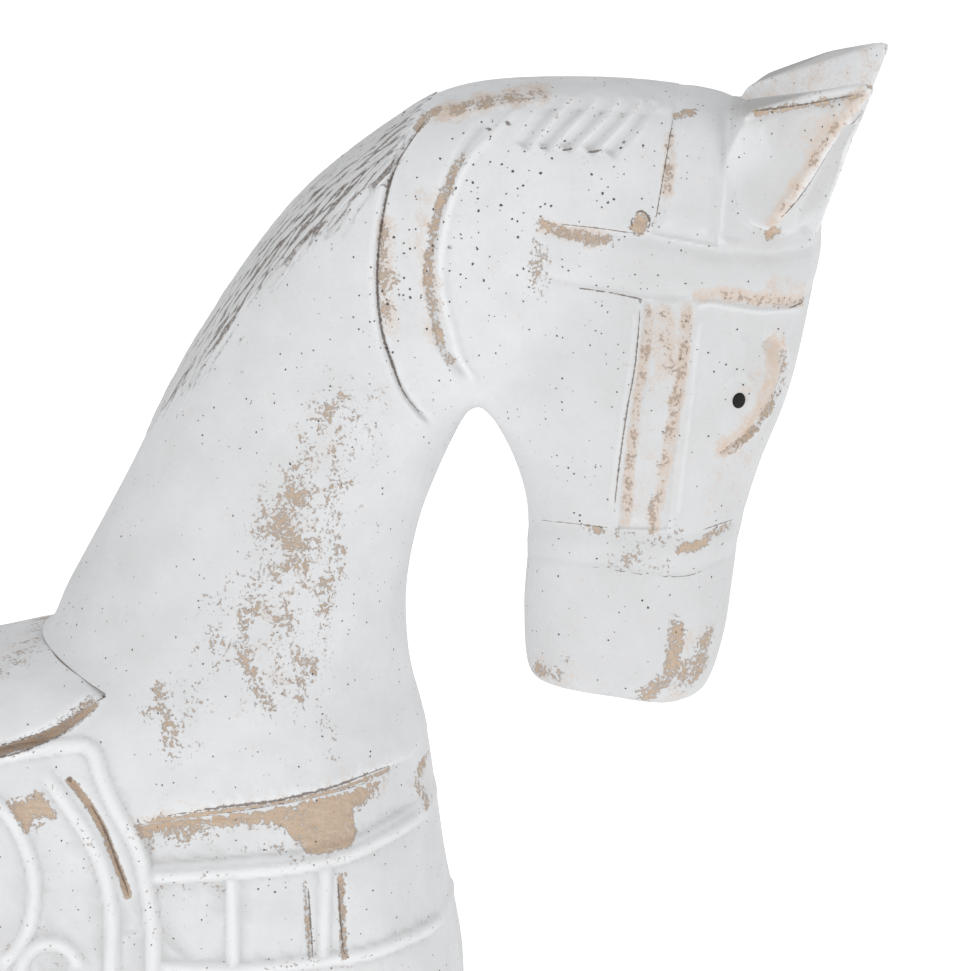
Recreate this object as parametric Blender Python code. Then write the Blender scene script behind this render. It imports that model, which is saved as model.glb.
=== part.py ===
"""Carved wooden rocking horse: a head and neck block, a body block and a saddle, doweled to each other,
on four legs that stand on two bow runners tied by three crossbars. Metres, +Z up, the horse faces +X."""

import math

import bmesh
import bpy
from mathutils import Matrix, Vector
from mathutils.bvhtree import BVHTree

# Fits
GLUE_GAP = 0.0003
HOLE_CLEARANCE = 0.0003

# Carved horse, as stations from the muzzle over the poll and the withers to the rump.
# Each: top line x, z; under line x, z; half width; squareness of the oval section.
HORSE_STATIONS = [
    (0.1955, 0.3460, 0.1660, 0.3510, 0.0150, 2.8),
    (0.2020, 0.3500, 0.1580, 0.3535, 0.0205, 2.9),
    (0.2060, 0.3620, 0.1565, 0.3690, 0.0225, 3.0),
    (0.2080, 0.3755, 0.1573, 0.3830, 0.0235, 3.0),
    (0.2100, 0.3890, 0.1573, 0.3960, 0.0245, 3.0),
    (0.2150, 0.4060, 0.1544, 0.4070, 0.0265, 3.0),
    (0.2220, 0.4240, 0.1500, 0.4160, 0.0285, 3.0),
    (0.2270, 0.4460, 0.1470, 0.4195, 0.0290, 3.0),
    (0.2300, 0.4660, 0.1456, 0.4203, 0.0285, 3.0),
    (0.2250, 0.4840, 0.1450, 0.4203, 0.0275, 3.0),
    (0.2140, 0.4952, 0.1444, 0.4200, 0.0265, 3.0),
    (0.1960, 0.5003, 0.1438, 0.4196, 0.0260, 3.0),
    (0.1700, 0.5020, 0.1425, 0.4185, 0.0260, 2.9),
    (0.1420, 0.4999, 0.1405, 0.4152, 0.0265, 2.8),
    (0.1244, 0.4913, 0.1382, 0.4106, 0.0275, 2.7),
    (0.0982, 0.4693, 0.1346, 0.4026, 0.0295, 2.6),
    (0.0742, 0.4348, 0.1296, 0.3890, 0.0325, 2.4),
    (0.0567, 0.4002, 0.1265, 0.3720, 0.0365, 2.2),
    (0.0424, 0.3730, 0.1273, 0.3540, 0.0405, 2.0),
    (0.0365, 0.3616, 0.1318, 0.3350, 0.0435, 2.1),
    (0.0240, 0.3586, 0.1355, 0.3040, 0.0455, 2.7),
    (0.0120, 0.3570, 0.1402, 0.2720, 0.0460, 3.2),
    (0.0000, 0.3555, 0.1350, 0.2420, 0.0460, 3.4),
    (-0.0120, 0.3545, 0.1060, 0.2240, 0.0460, 3.3),
    (-0.0280, 0.3540, 0.0580, 0.2170, 0.0465, 3.2),
    (-0.0480, 0.3550, 0.0080, 0.2155, 0.0470, 3.2),
    (-0.0720, 0.3590, -0.0420, 0.2180, 0.0475, 3.1),
    (-0.1020, 0.3640, -0.0890, 0.2250, 0.0485, 3.0),
    (-0.1320, 0.3650, -0.1270, 0.2340, 0.0490, 2.8),
    (-0.1590, 0.3570, -0.1590, 0.2470, 0.0470, 2.6),
    (-0.1790, 0.3410, -0.1810, 0.2650, 0.0400, 2.4),
    (-0.1905, 0.3190, -0.1920, 0.2870, 0.0260, 2.2),
    (-0.1945, 0.3070, -0.1945, 0.2980, 0.0095, 2.0),
]
HORSE_RING_POINTS = 24
HORSE_RINGS_PER_STATION = 2

# Neck joint: the neck stands on a chest seat and against the withers, and its toe laps over the saddle
NECK_CORNER = (0.0645, 0.3205)
CHEST_SEAT_RISE = 9.0
WITHERS_CORNER = (0.0550, 0.3525)
TOE_LEAN = 66.0

# Saddle: stations from the neck to the cantle. Each: x; seat z; half width
SADDLE_STATIONS = [
    (0.0620, 0.3560, 0.0400),
    (0.0420, 0.3600, 0.0440),
    (0.0180, 0.3555, 0.0460),
    (-0.0120, 0.3510, 0.0470),
    (-0.0420, 0.3520, 0.0475),
    (-0.0640, 0.3600, 0.0470),
    (-0.0790, 0.3685, 0.0440),
    (-0.0880, 0.3690, 0.0390),
    (-0.0930, 0.3620, 0.0300),
]
SADDLE_CORE_Z = 0.322
SADDLE_SQUARENESS = 2.5
SADDLE_RINGS_PER_STATION = 2
# The hollow of the back that the saddle is bedded in, from front to rear
BACK_CURVE = [
    (0.0720, 0.3615),
    (0.0540, 0.3510),
    (0.0290, 0.3395),
    (-0.0120, 0.3360),
    (-0.0520, 0.3385),
    (-0.0780, 0.3475),
    (-0.1000, 0.3660),
]
BACK_STEPS = 3

# Runners and crossbars
RUNNER_RADIUS = 0.600
RUNNER_DEPTH = 0.034
RUNNER_THICKNESS = 0.024
RUNNER_FACETS = 21
RUNNER_ROUNDING = 0.003
RUNNER_TIP_STEPS = 6
TRACK = 0.104
FOOT_REACH = 0.140
FOOT_TO_CROSSBAR = 0.072
CROSSBAR_TO_TIP = 0.040
CROSSBAR_WIDTH = 0.032
CROSSBAR_THICKNESS = 0.012
CROSSBAR_OVERHANG = 0.008
CROSSBAR_LAP = 0.005
CROSSBAR_ROUNDING = 0.0025

# Countersunk screws
SCREW_RADIUS = 0.0020
SCREW_HEAD_RADIUS = 0.0040
SCREW_HEAD_DEPTH = 0.0026
SCREW_LENGTH = 0.028
SCREW_POINT = 0.005
SCREW_TIP_RADIUS = 0.0007

# Legs. Each station: height above the sole; fore-and-aft half size; half width; fore-and-aft offset
HOOF_LENGTH = 0.036
HOOF_WIDTH = 0.030
FORE_LEG_STATIONS = [
    (0.000, HOOF_LENGTH / 2, HOOF_WIDTH / 2, 0.0000),
    (0.020, 0.0145, 0.0130, 0.0005),
    (0.028, 0.0105, 0.0105, -0.0005),
    (0.039, 0.0115, 0.0110, 0.0000),
    (0.052, 0.0095, 0.0098, 0.0000),
    (0.082, 0.0098, 0.0102, 0.0000),
    (0.096, 0.0130, 0.0125, 0.0015),
    (0.112, 0.0130, 0.0128, 0.0010),
    (0.138, 0.0175, 0.0145, -0.0010),
    (0.168, 0.0230, 0.0155, -0.0020),
]
HIND_LEG_STATIONS = [
    (0.000, HOOF_LENGTH / 2, HOOF_WIDTH / 2, 0.0000),
    (0.020, 0.0145, 0.0130, 0.0005),
    (0.028, 0.0105, 0.0105, -0.0005),
    (0.039, 0.0115, 0.0110, 0.0000),
    (0.052, 0.0098, 0.0100, -0.0010),
    (0.080, 0.0105, 0.0104, -0.0040),
    (0.098, 0.0140, 0.0125, -0.0060),
    (0.114, 0.0145, 0.0130, -0.0030),
    (0.140, 0.0215, 0.0150, 0.0010),
    (0.170, 0.0280, 0.0160, 0.0020),
]
# Round top of each leg inside the body: x, y, z on the left side, and its sizes as in a station
FORE_HIP = (0.090, 0.031, 0.278)
FORE_TOP = (0.0265, 0.0155, -0.0020)
HIND_HIP = (-0.128, 0.032, 0.290)
HIND_TOP = (0.0340, 0.0165, 0.0010)
HIP_ROUNDING = 0.036
HIP_CAP = 0.45
LEG_SQUARENESS = 2.6
LEG_RING_POINTS = 12
LEG_RINGS_PER_STATION = 2
HOOF_HOUSING = 0.0015
HOOF_HOUSING_MARGIN = 0.001

# Tail: stations from inside the rump to the tip. Each: x; z; half size
TAIL_STATIONS = [
    (-0.1680, 0.332, 0.0100),
    (-0.1900, 0.337, 0.0110),
    (-0.2080, 0.328, 0.0140),
    (-0.2220, 0.303, 0.0175),
    (-0.2275, 0.272, 0.0190),
    (-0.2270, 0.240, 0.0170),
    (-0.2290, 0.212, 0.0120),
    (-0.2370, 0.192, 0.0045),
]
TAIL_FLATNESS = 0.85
TAIL_RING_POINTS = 12
TAIL_RINGS_PER_STATION = 2

# Dowels
DOWEL_RADIUS = 0.004
DOWEL_CHAMFER = 0.001
NECK_DOWEL_LENGTH = 0.050
NECK_DOWEL_X = {"rear": 0.087, "front": 0.115}
SADDLE_DOWEL_LENGTH = 0.022
SADDLE_DOWEL_X = {"rear": -0.052, "front": 0.014}
LEG_DOWEL_LENGTH = 0.040
HOOF_DOWEL_LENGTH = 0.036
TAIL_DOWEL_LENGTH = 0.036
TURNED_SIDES = 10

# Eyes: black pegs with a low dome
EYE_X = 0.2117
EYE_Z = 0.4270
EYE_RADIUS = 0.0022
EYE_DEPTH = 0.0060
EYE_DOME = 0.0008
# Round top of the eye: share of the dome's height; share of the eye's radius
EYE_DOME_SHARES = [(0.7, 0.7), (1.0, 0.2)]

# Ears. Each corner: x, y, z on the left side
EAR_CORNERS = [
    (0.2462, 0.0265, 0.5082),
    (0.2310, 0.0265, 0.5054),
    (0.2130, 0.0235, 0.4986),
    (0.2105, 0.0075, 0.4995),
    (0.2200, 0.0290, 0.4700),
    (0.2305, 0.0100, 0.4660),
    (0.2030, 0.0200, 0.4750),
    (0.2030, 0.0080, 0.4750),
]
EAR_ROUNDING = 0.0012
EAR_SCOOP_CENTRE = (0.2520, 0.0150, 0.4870)
EAR_SCOOP_RADIUS = 0.0150

# Carved relief: middle lines in side view, as x, z points, with their widths
RELIEF_HEIGHT = 0.0012
RIDGE_WIDTH = 0.0036
THROAT_LINE = [
    (0.1450, 0.5080),
    (0.1365, 0.4840),
    (0.1305, 0.4640),
    (0.1308, 0.4470),
    (0.1355, 0.4310),
    (0.1440, 0.4200),
]
BRIDLE_STRAPS = [
    ([(0.2035, 0.5080), (0.1993, 0.4620)], 0.0160),
    ([(0.1975, 0.4620), (0.1950, 0.4510), (0.1888, 0.3900)], 0.0125),
    ([(0.1665, 0.4640), (0.1893, 0.4606), (0.2062, 0.4580), (0.2380, 0.4560)], 0.0145),
    ([(0.1480, 0.3913), (0.1855, 0.3880), (0.2230, 0.3850)], 0.0105),
    (THROAT_LINE, 0.0145),
]
COLLAR_RAILS = [
    [(0.0665, 0.3070), (0.1042, 0.3103), (0.1355, 0.3178), (0.1560, 0.3230)],
    [(0.0665, 0.2832), (0.1042, 0.2847), (0.1393, 0.2905), (0.1600, 0.2940)],
]
COLLAR_BARS = [
    [(0.0886, 0.2840), (0.0886, 0.3090)],
    [(0.1108, 0.2850), (0.1108, 0.3120)],
]
# The saddle cloth is edged by two ovals: half length, half height
CLOTH_CENTRE = (-0.0200, 0.290)
CLOTH_EDGES = [(0.0880, 0.0580), (0.0795, 0.0500)]
CLOTH_SQUARENESS = 3.0
CLOTH_STEPS = 20

# Each finish: colour; roughness; metallic
LIMEWASH = ((0.80, 0.80, 0.79), 0.75, 0.0)
BARE_WOOD = ((0.62, 0.46, 0.32), 0.80, 0.0)
EYE_BLACK = ((0.012, 0.012, 0.012), 0.35, 0.0)
STEEL = ((0.45, 0.44, 0.42), 0.40, 1.0)

# Edges sharper than these many degrees are shaded sharp, or rounded
SHARP_ANGLE = 35
ROUNDED_ANGLE = 50
ROUNDING_SEGMENTS = 2

SIDES = {"left": 1, "right": -1}
UP = Vector((0, 0, 1))
# Cutters reach this far past what they cut
REACH = 0.25


def clear_scene():
    for obj in list(bpy.data.objects):
        bpy.data.objects.remove(obj, do_unlink=True)


def material(name, colour, roughness, metallic):
    made = bpy.data.materials.new(name)
    made.use_nodes = True
    shader = made.node_tree.nodes["Principled BSDF"]
    shader.inputs["Base Color"].default_value = (*colour, 1.0)
    shader.inputs["Roughness"].default_value = roughness
    shader.inputs["Metallic"].default_value = metallic
    return made


def mesh_of(name, bm):
    bmesh.ops.recalc_face_normals(bm, faces=bm.faces)
    if bm.calc_volume(signed=True) < 0:
        bmesh.ops.reverse_faces(bm, faces=bm.faces)
    mesh = bpy.data.meshes.new(name)
    bm.to_mesh(mesh)
    bm.free()
    return mesh


def piece(name, mesh, finish):
    obj = bpy.data.objects.new(name, mesh)
    bpy.context.scene.collection.objects.link(obj)
    obj.parent = bpy.data.objects["rocking_horse"]
    mesh.materials.append(finish)
    mesh.shade_smooth()
    mesh.set_sharp_from_angle(angle=math.radians(SHARP_ANGLE))
    return obj


def helper(name, mesh):
    obj = bpy.data.objects.new(name, mesh)
    bpy.context.scene.collection.objects.link(obj)
    obj.hide_render = True
    obj.display_type = "WIRE"
    return obj


def boolean(obj, other, operation, solver="EXACT"):
    modifier = obj.modifiers.new(operation.title() + " " + other.name, "BOOLEAN")
    modifier.operation = operation
    modifier.object = other
    modifier.solver = solver
    return obj


def drill(obj, hole):
    """Cuts a round hole. Where one opens on a carved face, the exact solver can turn a piece inside out."""
    return boolean(obj, hole, "DIFFERENCE", "MANIFOLD")


def rounded(obj, width):
    rounding = obj.modifiers.new("Rounding", "BEVEL")
    rounding.width = width
    rounding.segments = ROUNDING_SEGMENTS
    rounding.limit_method = "ANGLE"
    rounding.angle_limit = math.radians(ROUNDED_ANGLE)


# Forms


def smooth_through(stations, steps):
    """Catmull-Rom curve through the stations, with so many rows from each to the next."""
    rows = []
    last = len(stations) - 1
    for i in range(last):
        four = stations[max(i - 1, 0)], stations[i], stations[i + 1], stations[min(i + 2, last)]
        for k in range(steps):
            t = k / steps
            rows.append(tuple(catmull_rom(*values, t) for values in zip(*four)))
    rows.append(tuple(stations[last]))
    return rows


def catmull_rom(a, b, c, d, t):
    bend = 2 * a - 5 * b + 4 * c - d
    twist = 3 * b - a - 3 * c + d
    return b + 0.5 * t * (c - a + t * (bend + t * twist))


def oval(centre, along, across, squareness, count):
    """Ring of a superellipse with these two half axes."""
    ring = []
    for k in range(count):
        turn = math.tau * k / count
        c, s = math.cos(turn), math.sin(turn)
        u = math.copysign(abs(s) ** (2 / squareness), s)
        v = math.copysign(abs(c) ** (2 / squareness), c)
        ring.append(centre + along * u + across * v)
    return ring


def loft(name, rings):
    """Closed skin over the rings, with flat ends."""
    bm = bmesh.new()
    rows = [[bm.verts.new(p) for p in ring] for ring in rings]
    count = len(rows[0])
    for first, second in zip(rows, rows[1:]):
        for k in range(count):
            n = (k + 1) % count
            bm.faces.new((first[k], first[n], second[n], second[k]))
    bm.faces.new(rows[0])
    bm.faces.new(rows[-1])
    return mesh_of(name, bm)


def prism(name, outline, half_depth):
    """A side view outline of x, z points, run from side to side."""
    return loft(name, [[Vector((x, y, z)) for x, z in outline] for y in (-half_depth, half_depth)])


def turned(name, profile):
    """Solid of revolution about local Z. Each profile point: height; radius."""
    rings = []
    for height, radius in profile:
        rings.append(oval(UP * height, Vector((radius, 0, 0)), Vector((0, radius, 0)), 2.0, TURNED_SIDES))
    return loft(name, rings)


def stand(obj, start, axis):
    """Puts an object's own Z on this axis, from this point."""
    obj.location = start
    obj.rotation_euler = axis.to_track_quat("Z", "Y").to_euler()
    return obj


def band(line, width):
    """Outline of a strap along a middle line of x, z points."""
    points = [Vector(p) for p in line]
    left, right = [], []
    for i, point in enumerate(points):
        run = (points[min(i + 1, len(points) - 1)] - points[max(i - 1, 0)]).normalized()
        side = Vector((-run.y, run.x)) * width / 2
        left.append(tuple(point + side))
        right.append(tuple(point - side))
    return left + right[::-1]


def cloth_edge(half_length, half_height):
    """Middle line of an oval edge of the saddle cloth, open at the top under the saddle."""
    line = []
    for k in range(1, CLOTH_STEPS):
        turn = math.pi / 2 + math.tau * k / CLOTH_STEPS
        c, s = math.cos(turn), math.sin(turn)
        x = math.copysign(abs(c) ** (2 / CLOTH_SQUARENESS), c) * half_length
        z = math.copysign(abs(s) ** (2 / CLOTH_SQUARENESS), s) * half_height
        line.append((CLOTH_CENTRE[0] + x, CLOTH_CENTRE[1] + z))
    return line


# The carved horse and its blocks


def horse_block(name, grow=0.0):
    """The whole carved horse without its legs, grown outwards by a little where asked."""
    rings = []
    for tx, tz, ux, uz, half, squareness in smooth_through(HORSE_STATIONS, HORSE_RINGS_PER_STATION):
        top, under = Vector((tx, 0, tz)), Vector((ux, 0, uz))
        along = (top - under) / 2
        along += along.normalized() * grow
        across = Vector((0, half + grow, 0))
        rings.append(oval((top + under) / 2, along, across, squareness, HORSE_RING_POINTS))
    return loft(name, rings)


def horse_width():
    return max(half for *lines, half, squareness in HORSE_STATIONS)


def through(name, outline):
    """A cutter of this side view, right through the horse."""
    return helper(name, prism(name, outline, 2 * horse_width()))


def relief(name, outlines):
    """The horse's skin, raised, inside these side view outlines."""
    shapes = [through(f"{name}_{k}", outline) for k, outline in enumerate(outlines)]
    for other in shapes[1:]:
        boolean(shapes[0], other, "UNION")
    raised = helper(name, horse_block(name, RELIEF_HEIGHT))
    return boolean(raised, shapes[0], "INTERSECT")


def chest_seat_z(x):
    return NECK_CORNER[1] + (x - NECK_CORNER[0]) * math.tan(math.radians(CHEST_SEAT_RISE))


def chest_seat_normal():
    rise = math.radians(CHEST_SEAT_RISE)
    return Vector((-math.sin(rise), 0, math.cos(rise)))


def normal_of(start, end):
    """Side view normal of a joint face, on the right of the way from start to end."""
    run = (end - start).normalized()
    return Vector((run.y, -run.x))


def mitre(first, second):
    """Step from the corner of two faces with these normals to that of the two faces moved on by one."""
    return (first + second) / (1 + first.dot(second))


def neck_outline(gap):
    """Side view of the space that the neck block takes, widened by gap at its joint faces."""
    chest_front = max(ux for tx, tz, ux, uz, half, squareness in HORSE_STATIONS if uz < NECK_CORNER[1])
    front_x = chest_front + RELIEF_HEIGHT + GLUE_GAP
    lean = math.radians(TOE_LEAN)
    front = Vector((front_x, chest_seat_z(front_x)))
    corner, bend = Vector(NECK_CORNER), Vector(WITHERS_CORNER)
    top = bend + Vector((-math.sin(lean), math.cos(lean))) * REACH
    seat, shoulder, toe = normal_of(front, corner), normal_of(corner, bend), normal_of(bend, top)
    outline = [
        top - toe * gap,
        bend - mitre(shoulder, toe) * gap,
        corner - mitre(seat, shoulder) * gap,
        front - seat * gap,
        front + Vector((0, -REACH)),
        front + Vector((REACH, -REACH)),
        front + Vector((REACH, REACH)),
    ]
    return [tuple(point) for point in outline]


def back_outline(lift):
    """Side view of the space above the hollow of the back."""
    curve = [(x, z + lift) for x, z in smooth_through(BACK_CURVE, BACK_STEPS)]
    return curve + [(curve[-1][0], curve[-1][1] + REACH), (curve[0][0], curve[0][1] + REACH)]


def back_z(x):
    """Height of the hollow of the back, at x."""
    curve = smooth_through(BACK_CURVE, BACK_STEPS)
    for (front, front_z), (rear, rear_z) in zip(curve, curve[1:]):
        if rear <= x <= front:
            return rear_z + (front_z - rear_z) * (x - rear) / (front - rear)
    return curve[-1][1]


def make_head_and_neck(finish):
    head = piece("head_and_neck", horse_block("head_and_neck"), finish)
    boolean(head, through("neck_space", neck_outline(0.0)), "INTERSECT")
    boolean(head, relief("bridle", [band(line, width) for line, width in BRIDLE_STRAPS]), "UNION")
    for side, sign in SIDES.items():
        boolean(head, make_ear("ear_" + side, sign), "UNION")
    return head


def make_ear(name, sign):
    bm = bmesh.new()
    for x, y, z in EAR_CORNERS:
        bm.verts.new((x, sign * y, z))
    bmesh.ops.convex_hull(bm, input=bm.verts)
    ear = helper(name, mesh_of(name, bm))
    rounded(ear, EAR_ROUNDING)
    x, y, z = EAR_SCOOP_CENTRE
    scoop = bmesh.new()
    bmesh.ops.create_icosphere(
        scoop,
        subdivisions=2,
        radius=EAR_SCOOP_RADIUS,
        matrix=Matrix.Translation((x, sign * y, z)),
    )
    return boolean(ear, helper(name + "_scoop", mesh_of(name + "_scoop", scoop)), "DIFFERENCE")


def make_body(finish):
    body = piece("body", horse_block("body"), finish)
    ridges = COLLAR_RAILS + COLLAR_BARS + [cloth_edge(*edge) for edge in CLOTH_EDGES]
    boolean(body, relief("collar_and_cloth", [band(line, RIDGE_WIDTH) for line in ridges]), "UNION")
    boolean(body, through("neck_seat", neck_outline(GLUE_GAP)), "DIFFERENCE")
    boolean(body, through("saddle_seat", back_outline(0.0)), "DIFFERENCE")
    return body


def make_saddle(finish):
    rings = []
    for x, z, half in smooth_through(SADDLE_STATIONS, SADDLE_RINGS_PER_STATION):
        centre = Vector((x, 0, SADDLE_CORE_Z))
        rise, across = UP * (z - SADDLE_CORE_Z), Vector((0, half, 0))
        rings.append(oval(centre, rise, across, SADDLE_SQUARENESS, HORSE_RING_POINTS))
    saddle = piece("saddle", loft("saddle", rings), finish)
    boolean(saddle, through("saddle_bed", back_outline(GLUE_GAP)), "INTERSECT")
    boolean(saddle, through("saddle_front", neck_outline(GLUE_GAP)), "DIFFERENCE")
    return saddle


# Runners and crossbars


def on_circle(angle, radius):
    """Point of the runner's side view at this angle from its lowest point."""
    return Vector((radius * math.sin(angle), 0, RUNNER_RADIUS - radius * math.cos(angle)))


def runner_normal(angle):
    return Vector((-math.sin(angle), 0, math.cos(angle)))


def runner_top(angle, depth=0.0):
    """Point on the runner's top edge, or so deep below it."""
    return on_circle(angle, RUNNER_RADIUS - RUNNER_DEPTH + depth)


def foot_angles():
    reach = math.asin(FOOT_REACH / (RUNNER_RADIUS - RUNNER_DEPTH))
    return {"fore": reach, "hind": -reach}


def crossbar_angles():
    reach = foot_angles()["fore"] + FOOT_TO_CROSSBAR / RUNNER_RADIUS
    return {"rear": -reach, "middle": 0.0, "front": reach}


def runner_outline():
    """Side view of a runner: flat facets below, one of them level in the middle, and round tips."""
    reach = crossbar_angles()["front"] + CROSSBAR_TO_TIP / RUNNER_RADIUS
    step = 2 * reach / RUNNER_FACETS
    angles = [step * (k + 0.5) for k in range((RUNNER_FACETS + 1) // 2)]
    half = [on_circle(angle, RUNNER_RADIUS / math.cos(step / 2)) for angle in angles]
    tip = on_circle(reach, RUNNER_RADIUS - RUNNER_DEPTH / 2)
    ahead, up = Vector((math.cos(reach), 0, math.sin(reach))), runner_normal(reach)
    for k in range(1, RUNNER_TIP_STEPS):
        turn = math.pi * k / RUNNER_TIP_STEPS
        half.append(tip + (ahead * math.sin(turn) - up * math.cos(turn)) * RUNNER_DEPTH / 2)
    half += [runner_top(angle) for angle in reversed(angles)]
    front = [(point.x, point.z) for point in half]
    return front + [(-x, z) for x, z in reversed(front)]


def across_runner(name, angle, length, depth):
    """A cutter for a seat so long and so deep, across both runners."""
    box = [(-length / 2, 0.0), (length / 2, 0.0), (length / 2, REACH), (-length / 2, REACH)]
    cutter = helper(name, prism(name, box, TRACK))
    cutter.location = runner_top(angle, depth)
    cutter.rotation_euler.y = -angle
    return cutter


def make_runners(finish):
    runners = []
    for side, sign in SIDES.items():
        name = "runner_" + side
        runner = piece(name, prism(name, runner_outline(), RUNNER_THICKNESS / 2), finish)
        runner.location.y = sign * TRACK / 2
        rounded(runner, RUNNER_ROUNDING)
        runners.append(runner)
    seats = []
    for end, angle in foot_angles().items():
        length = HOOF_LENGTH + 2 * HOOF_HOUSING_MARGIN
        seats.append(across_runner(end + "_hoof_seat", angle, length, HOOF_HOUSING))
    for end, angle in crossbar_angles().items():
        length = CROSSBAR_WIDTH + 2 * GLUE_GAP
        seats.append(across_runner(end + "_lap", angle, length, CROSSBAR_LAP))
    for runner in runners:
        for seat in seats:
            boolean(runner, seat, "DIFFERENCE")
    return dict(zip(SIDES, runners))


def make_crossbar(name, angle, finish):
    box = [(-CROSSBAR_WIDTH / 2, 0.0), (CROSSBAR_WIDTH / 2, 0.0)]
    box += [(x, CROSSBAR_THICKNESS) for x, z in reversed(box)]
    length = TRACK + RUNNER_THICKNESS + 2 * CROSSBAR_OVERHANG
    bar = piece(name, prism(name, box, length / 2), finish)
    bar.location = runner_top(angle, CROSSBAR_LAP - GLUE_GAP)
    bar.rotation_euler.y = -angle
    rounded(bar, CROSSBAR_ROUNDING)
    return bar


def make_screw(name, angle, y, bar, runner, finish):
    """A countersunk screw, its head level with the crossbar's top, and its hole in both pieces."""
    top = runner_top(angle, CROSSBAR_LAP - GLUE_GAP) + runner_normal(angle) * CROSSBAR_THICKNESS
    start, down = top + Vector((0, y, 0)), -runner_normal(angle)
    profile = [
        (0.0, SCREW_HEAD_RADIUS),
        (SCREW_HEAD_DEPTH, SCREW_RADIUS),
        (SCREW_LENGTH - SCREW_POINT, SCREW_RADIUS),
        (SCREW_LENGTH, SCREW_TIP_RADIUS),
    ]
    stand(piece(name, turned(name, profile), finish), start, down)
    hole_profile = [
        (-HOLE_CLEARANCE, SCREW_HEAD_RADIUS + 2 * HOLE_CLEARANCE),
        (0.0, SCREW_HEAD_RADIUS + 2 * HOLE_CLEARANCE),
        (SCREW_HEAD_DEPTH + HOLE_CLEARANCE, SCREW_RADIUS + HOLE_CLEARANCE),
        (SCREW_LENGTH + HOLE_CLEARANCE, SCREW_RADIUS + HOLE_CLEARANCE),
    ]
    hole = stand(helper(name + "_hole", turned(name + "_hole", hole_profile)), start, down)
    drill(bar, hole)
    drill(runner, hole)


# Legs, tail, eyes and dowels


def dowel(name, centre, axis, length, blocks, finish):
    """A dowel across a joint, and its hole in each block."""
    start = centre - axis.normalized() * length / 2
    profile = [
        (0.0, DOWEL_RADIUS - DOWEL_CHAMFER),
        (DOWEL_CHAMFER, DOWEL_RADIUS),
        (length - DOWEL_CHAMFER, DOWEL_RADIUS),
        (length, DOWEL_RADIUS - DOWEL_CHAMFER),
    ]
    stand(piece(name, turned(name, profile), finish), start, axis)
    bore = DOWEL_RADIUS + HOLE_CLEARANCE
    hole_mesh = turned(name + "_hole", [(-HOLE_CLEARANCE, bore), (length + HOLE_CLEARANCE, bore)])
    hole = stand(helper(name + "_hole", hole_mesh), start, axis)
    for block in blocks:
        drill(block, hole)


def leg_rings(stations, top, hip):
    """Rings from the sole to the round top at the hip, in the leg's own frame."""
    long_top, wide_top, offset_top = top
    stations = stations + [
        (hip.z - HIP_ROUNDING, *top),
        (hip.z, long_top * HIP_CAP, wide_top * HIP_CAP, offset_top),
    ]
    rings = []
    for height, long_half, wide_half, offset in smooth_through(stations, LEG_RINGS_PER_STATION):
        centre = hip * (height / hip.z) + Vector((offset, 0, 0))
        along, across = Vector((long_half, 0, 0)), Vector((0, wide_half, 0))
        rings.append(oval(centre, along, across, LEG_SQUARENESS, LEG_RING_POINTS))
    return rings


def make_leg(end, side, horse_tree, room, body, runner, finish, wood):
    sign = SIDES[side]
    stations, top, hip = {
        "fore": (FORE_LEG_STATIONS, FORE_TOP, FORE_HIP),
        "hind": (HIND_LEG_STATIONS, HIND_TOP, HIND_HIP),
    }[end]
    angle = foot_angles()[end]
    foot = runner_top(angle, HOOF_HOUSING - GLUE_GAP) + Vector((0, sign * TRACK / 2, 0))
    hip = Vector((hip[0], sign * hip[1], hip[2]))
    name = f"{end}_leg_{side}"
    upright = Matrix.Rotation(-angle, 3, "Y")
    rings = leg_rings(stations, top, upright.inverted() @ (hip - foot))
    leg = piece(name, loft(name, rings), finish)
    leg.location = foot
    leg.rotation_euler.y = -angle
    boolean(leg, room, "DIFFERENCE")
    axis = hip - foot
    joint = horse_tree.ray_cast(foot, axis)[0]
    dowel(f"leg_dowel_{end}_{side}", joint, axis, LEG_DOWEL_LENGTH, (leg, body), wood)
    dowel(f"hoof_dowel_{end}_{side}", foot, runner_normal(angle), HOOF_DOWEL_LENGTH, (leg, runner), wood)


def make_tail(horse_tree, room, body, finish, wood):
    rows = smooth_through(TAIL_STATIONS, TAIL_RINGS_PER_STATION)
    rings = []
    for i, (x, z, half) in enumerate(rows):
        ahead, behind = rows[min(i + 1, len(rows) - 1)], rows[max(i - 1, 0)]
        run = Vector((ahead[0] - behind[0], 0, ahead[1] - behind[1])).normalized()
        along, across = Vector((run.z, 0, -run.x)) * half, Vector((0, half * TAIL_FLATNESS, 0))
        rings.append(oval(Vector((x, 0, z)), along, across, 2.0, TAIL_RING_POINTS))
    tail = piece("tail", loft("tail", rings), finish)
    boolean(tail, room, "DIFFERENCE")
    root, dock = (Vector((x, 0, z)) for x, z, half in TAIL_STATIONS[:2])
    inward = root - dock
    joint = horse_tree.ray_cast(dock - inward, inward)[0]
    dowel("tail_dowel", joint, inward, TAIL_DOWEL_LENGTH, (tail, body), wood)


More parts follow.
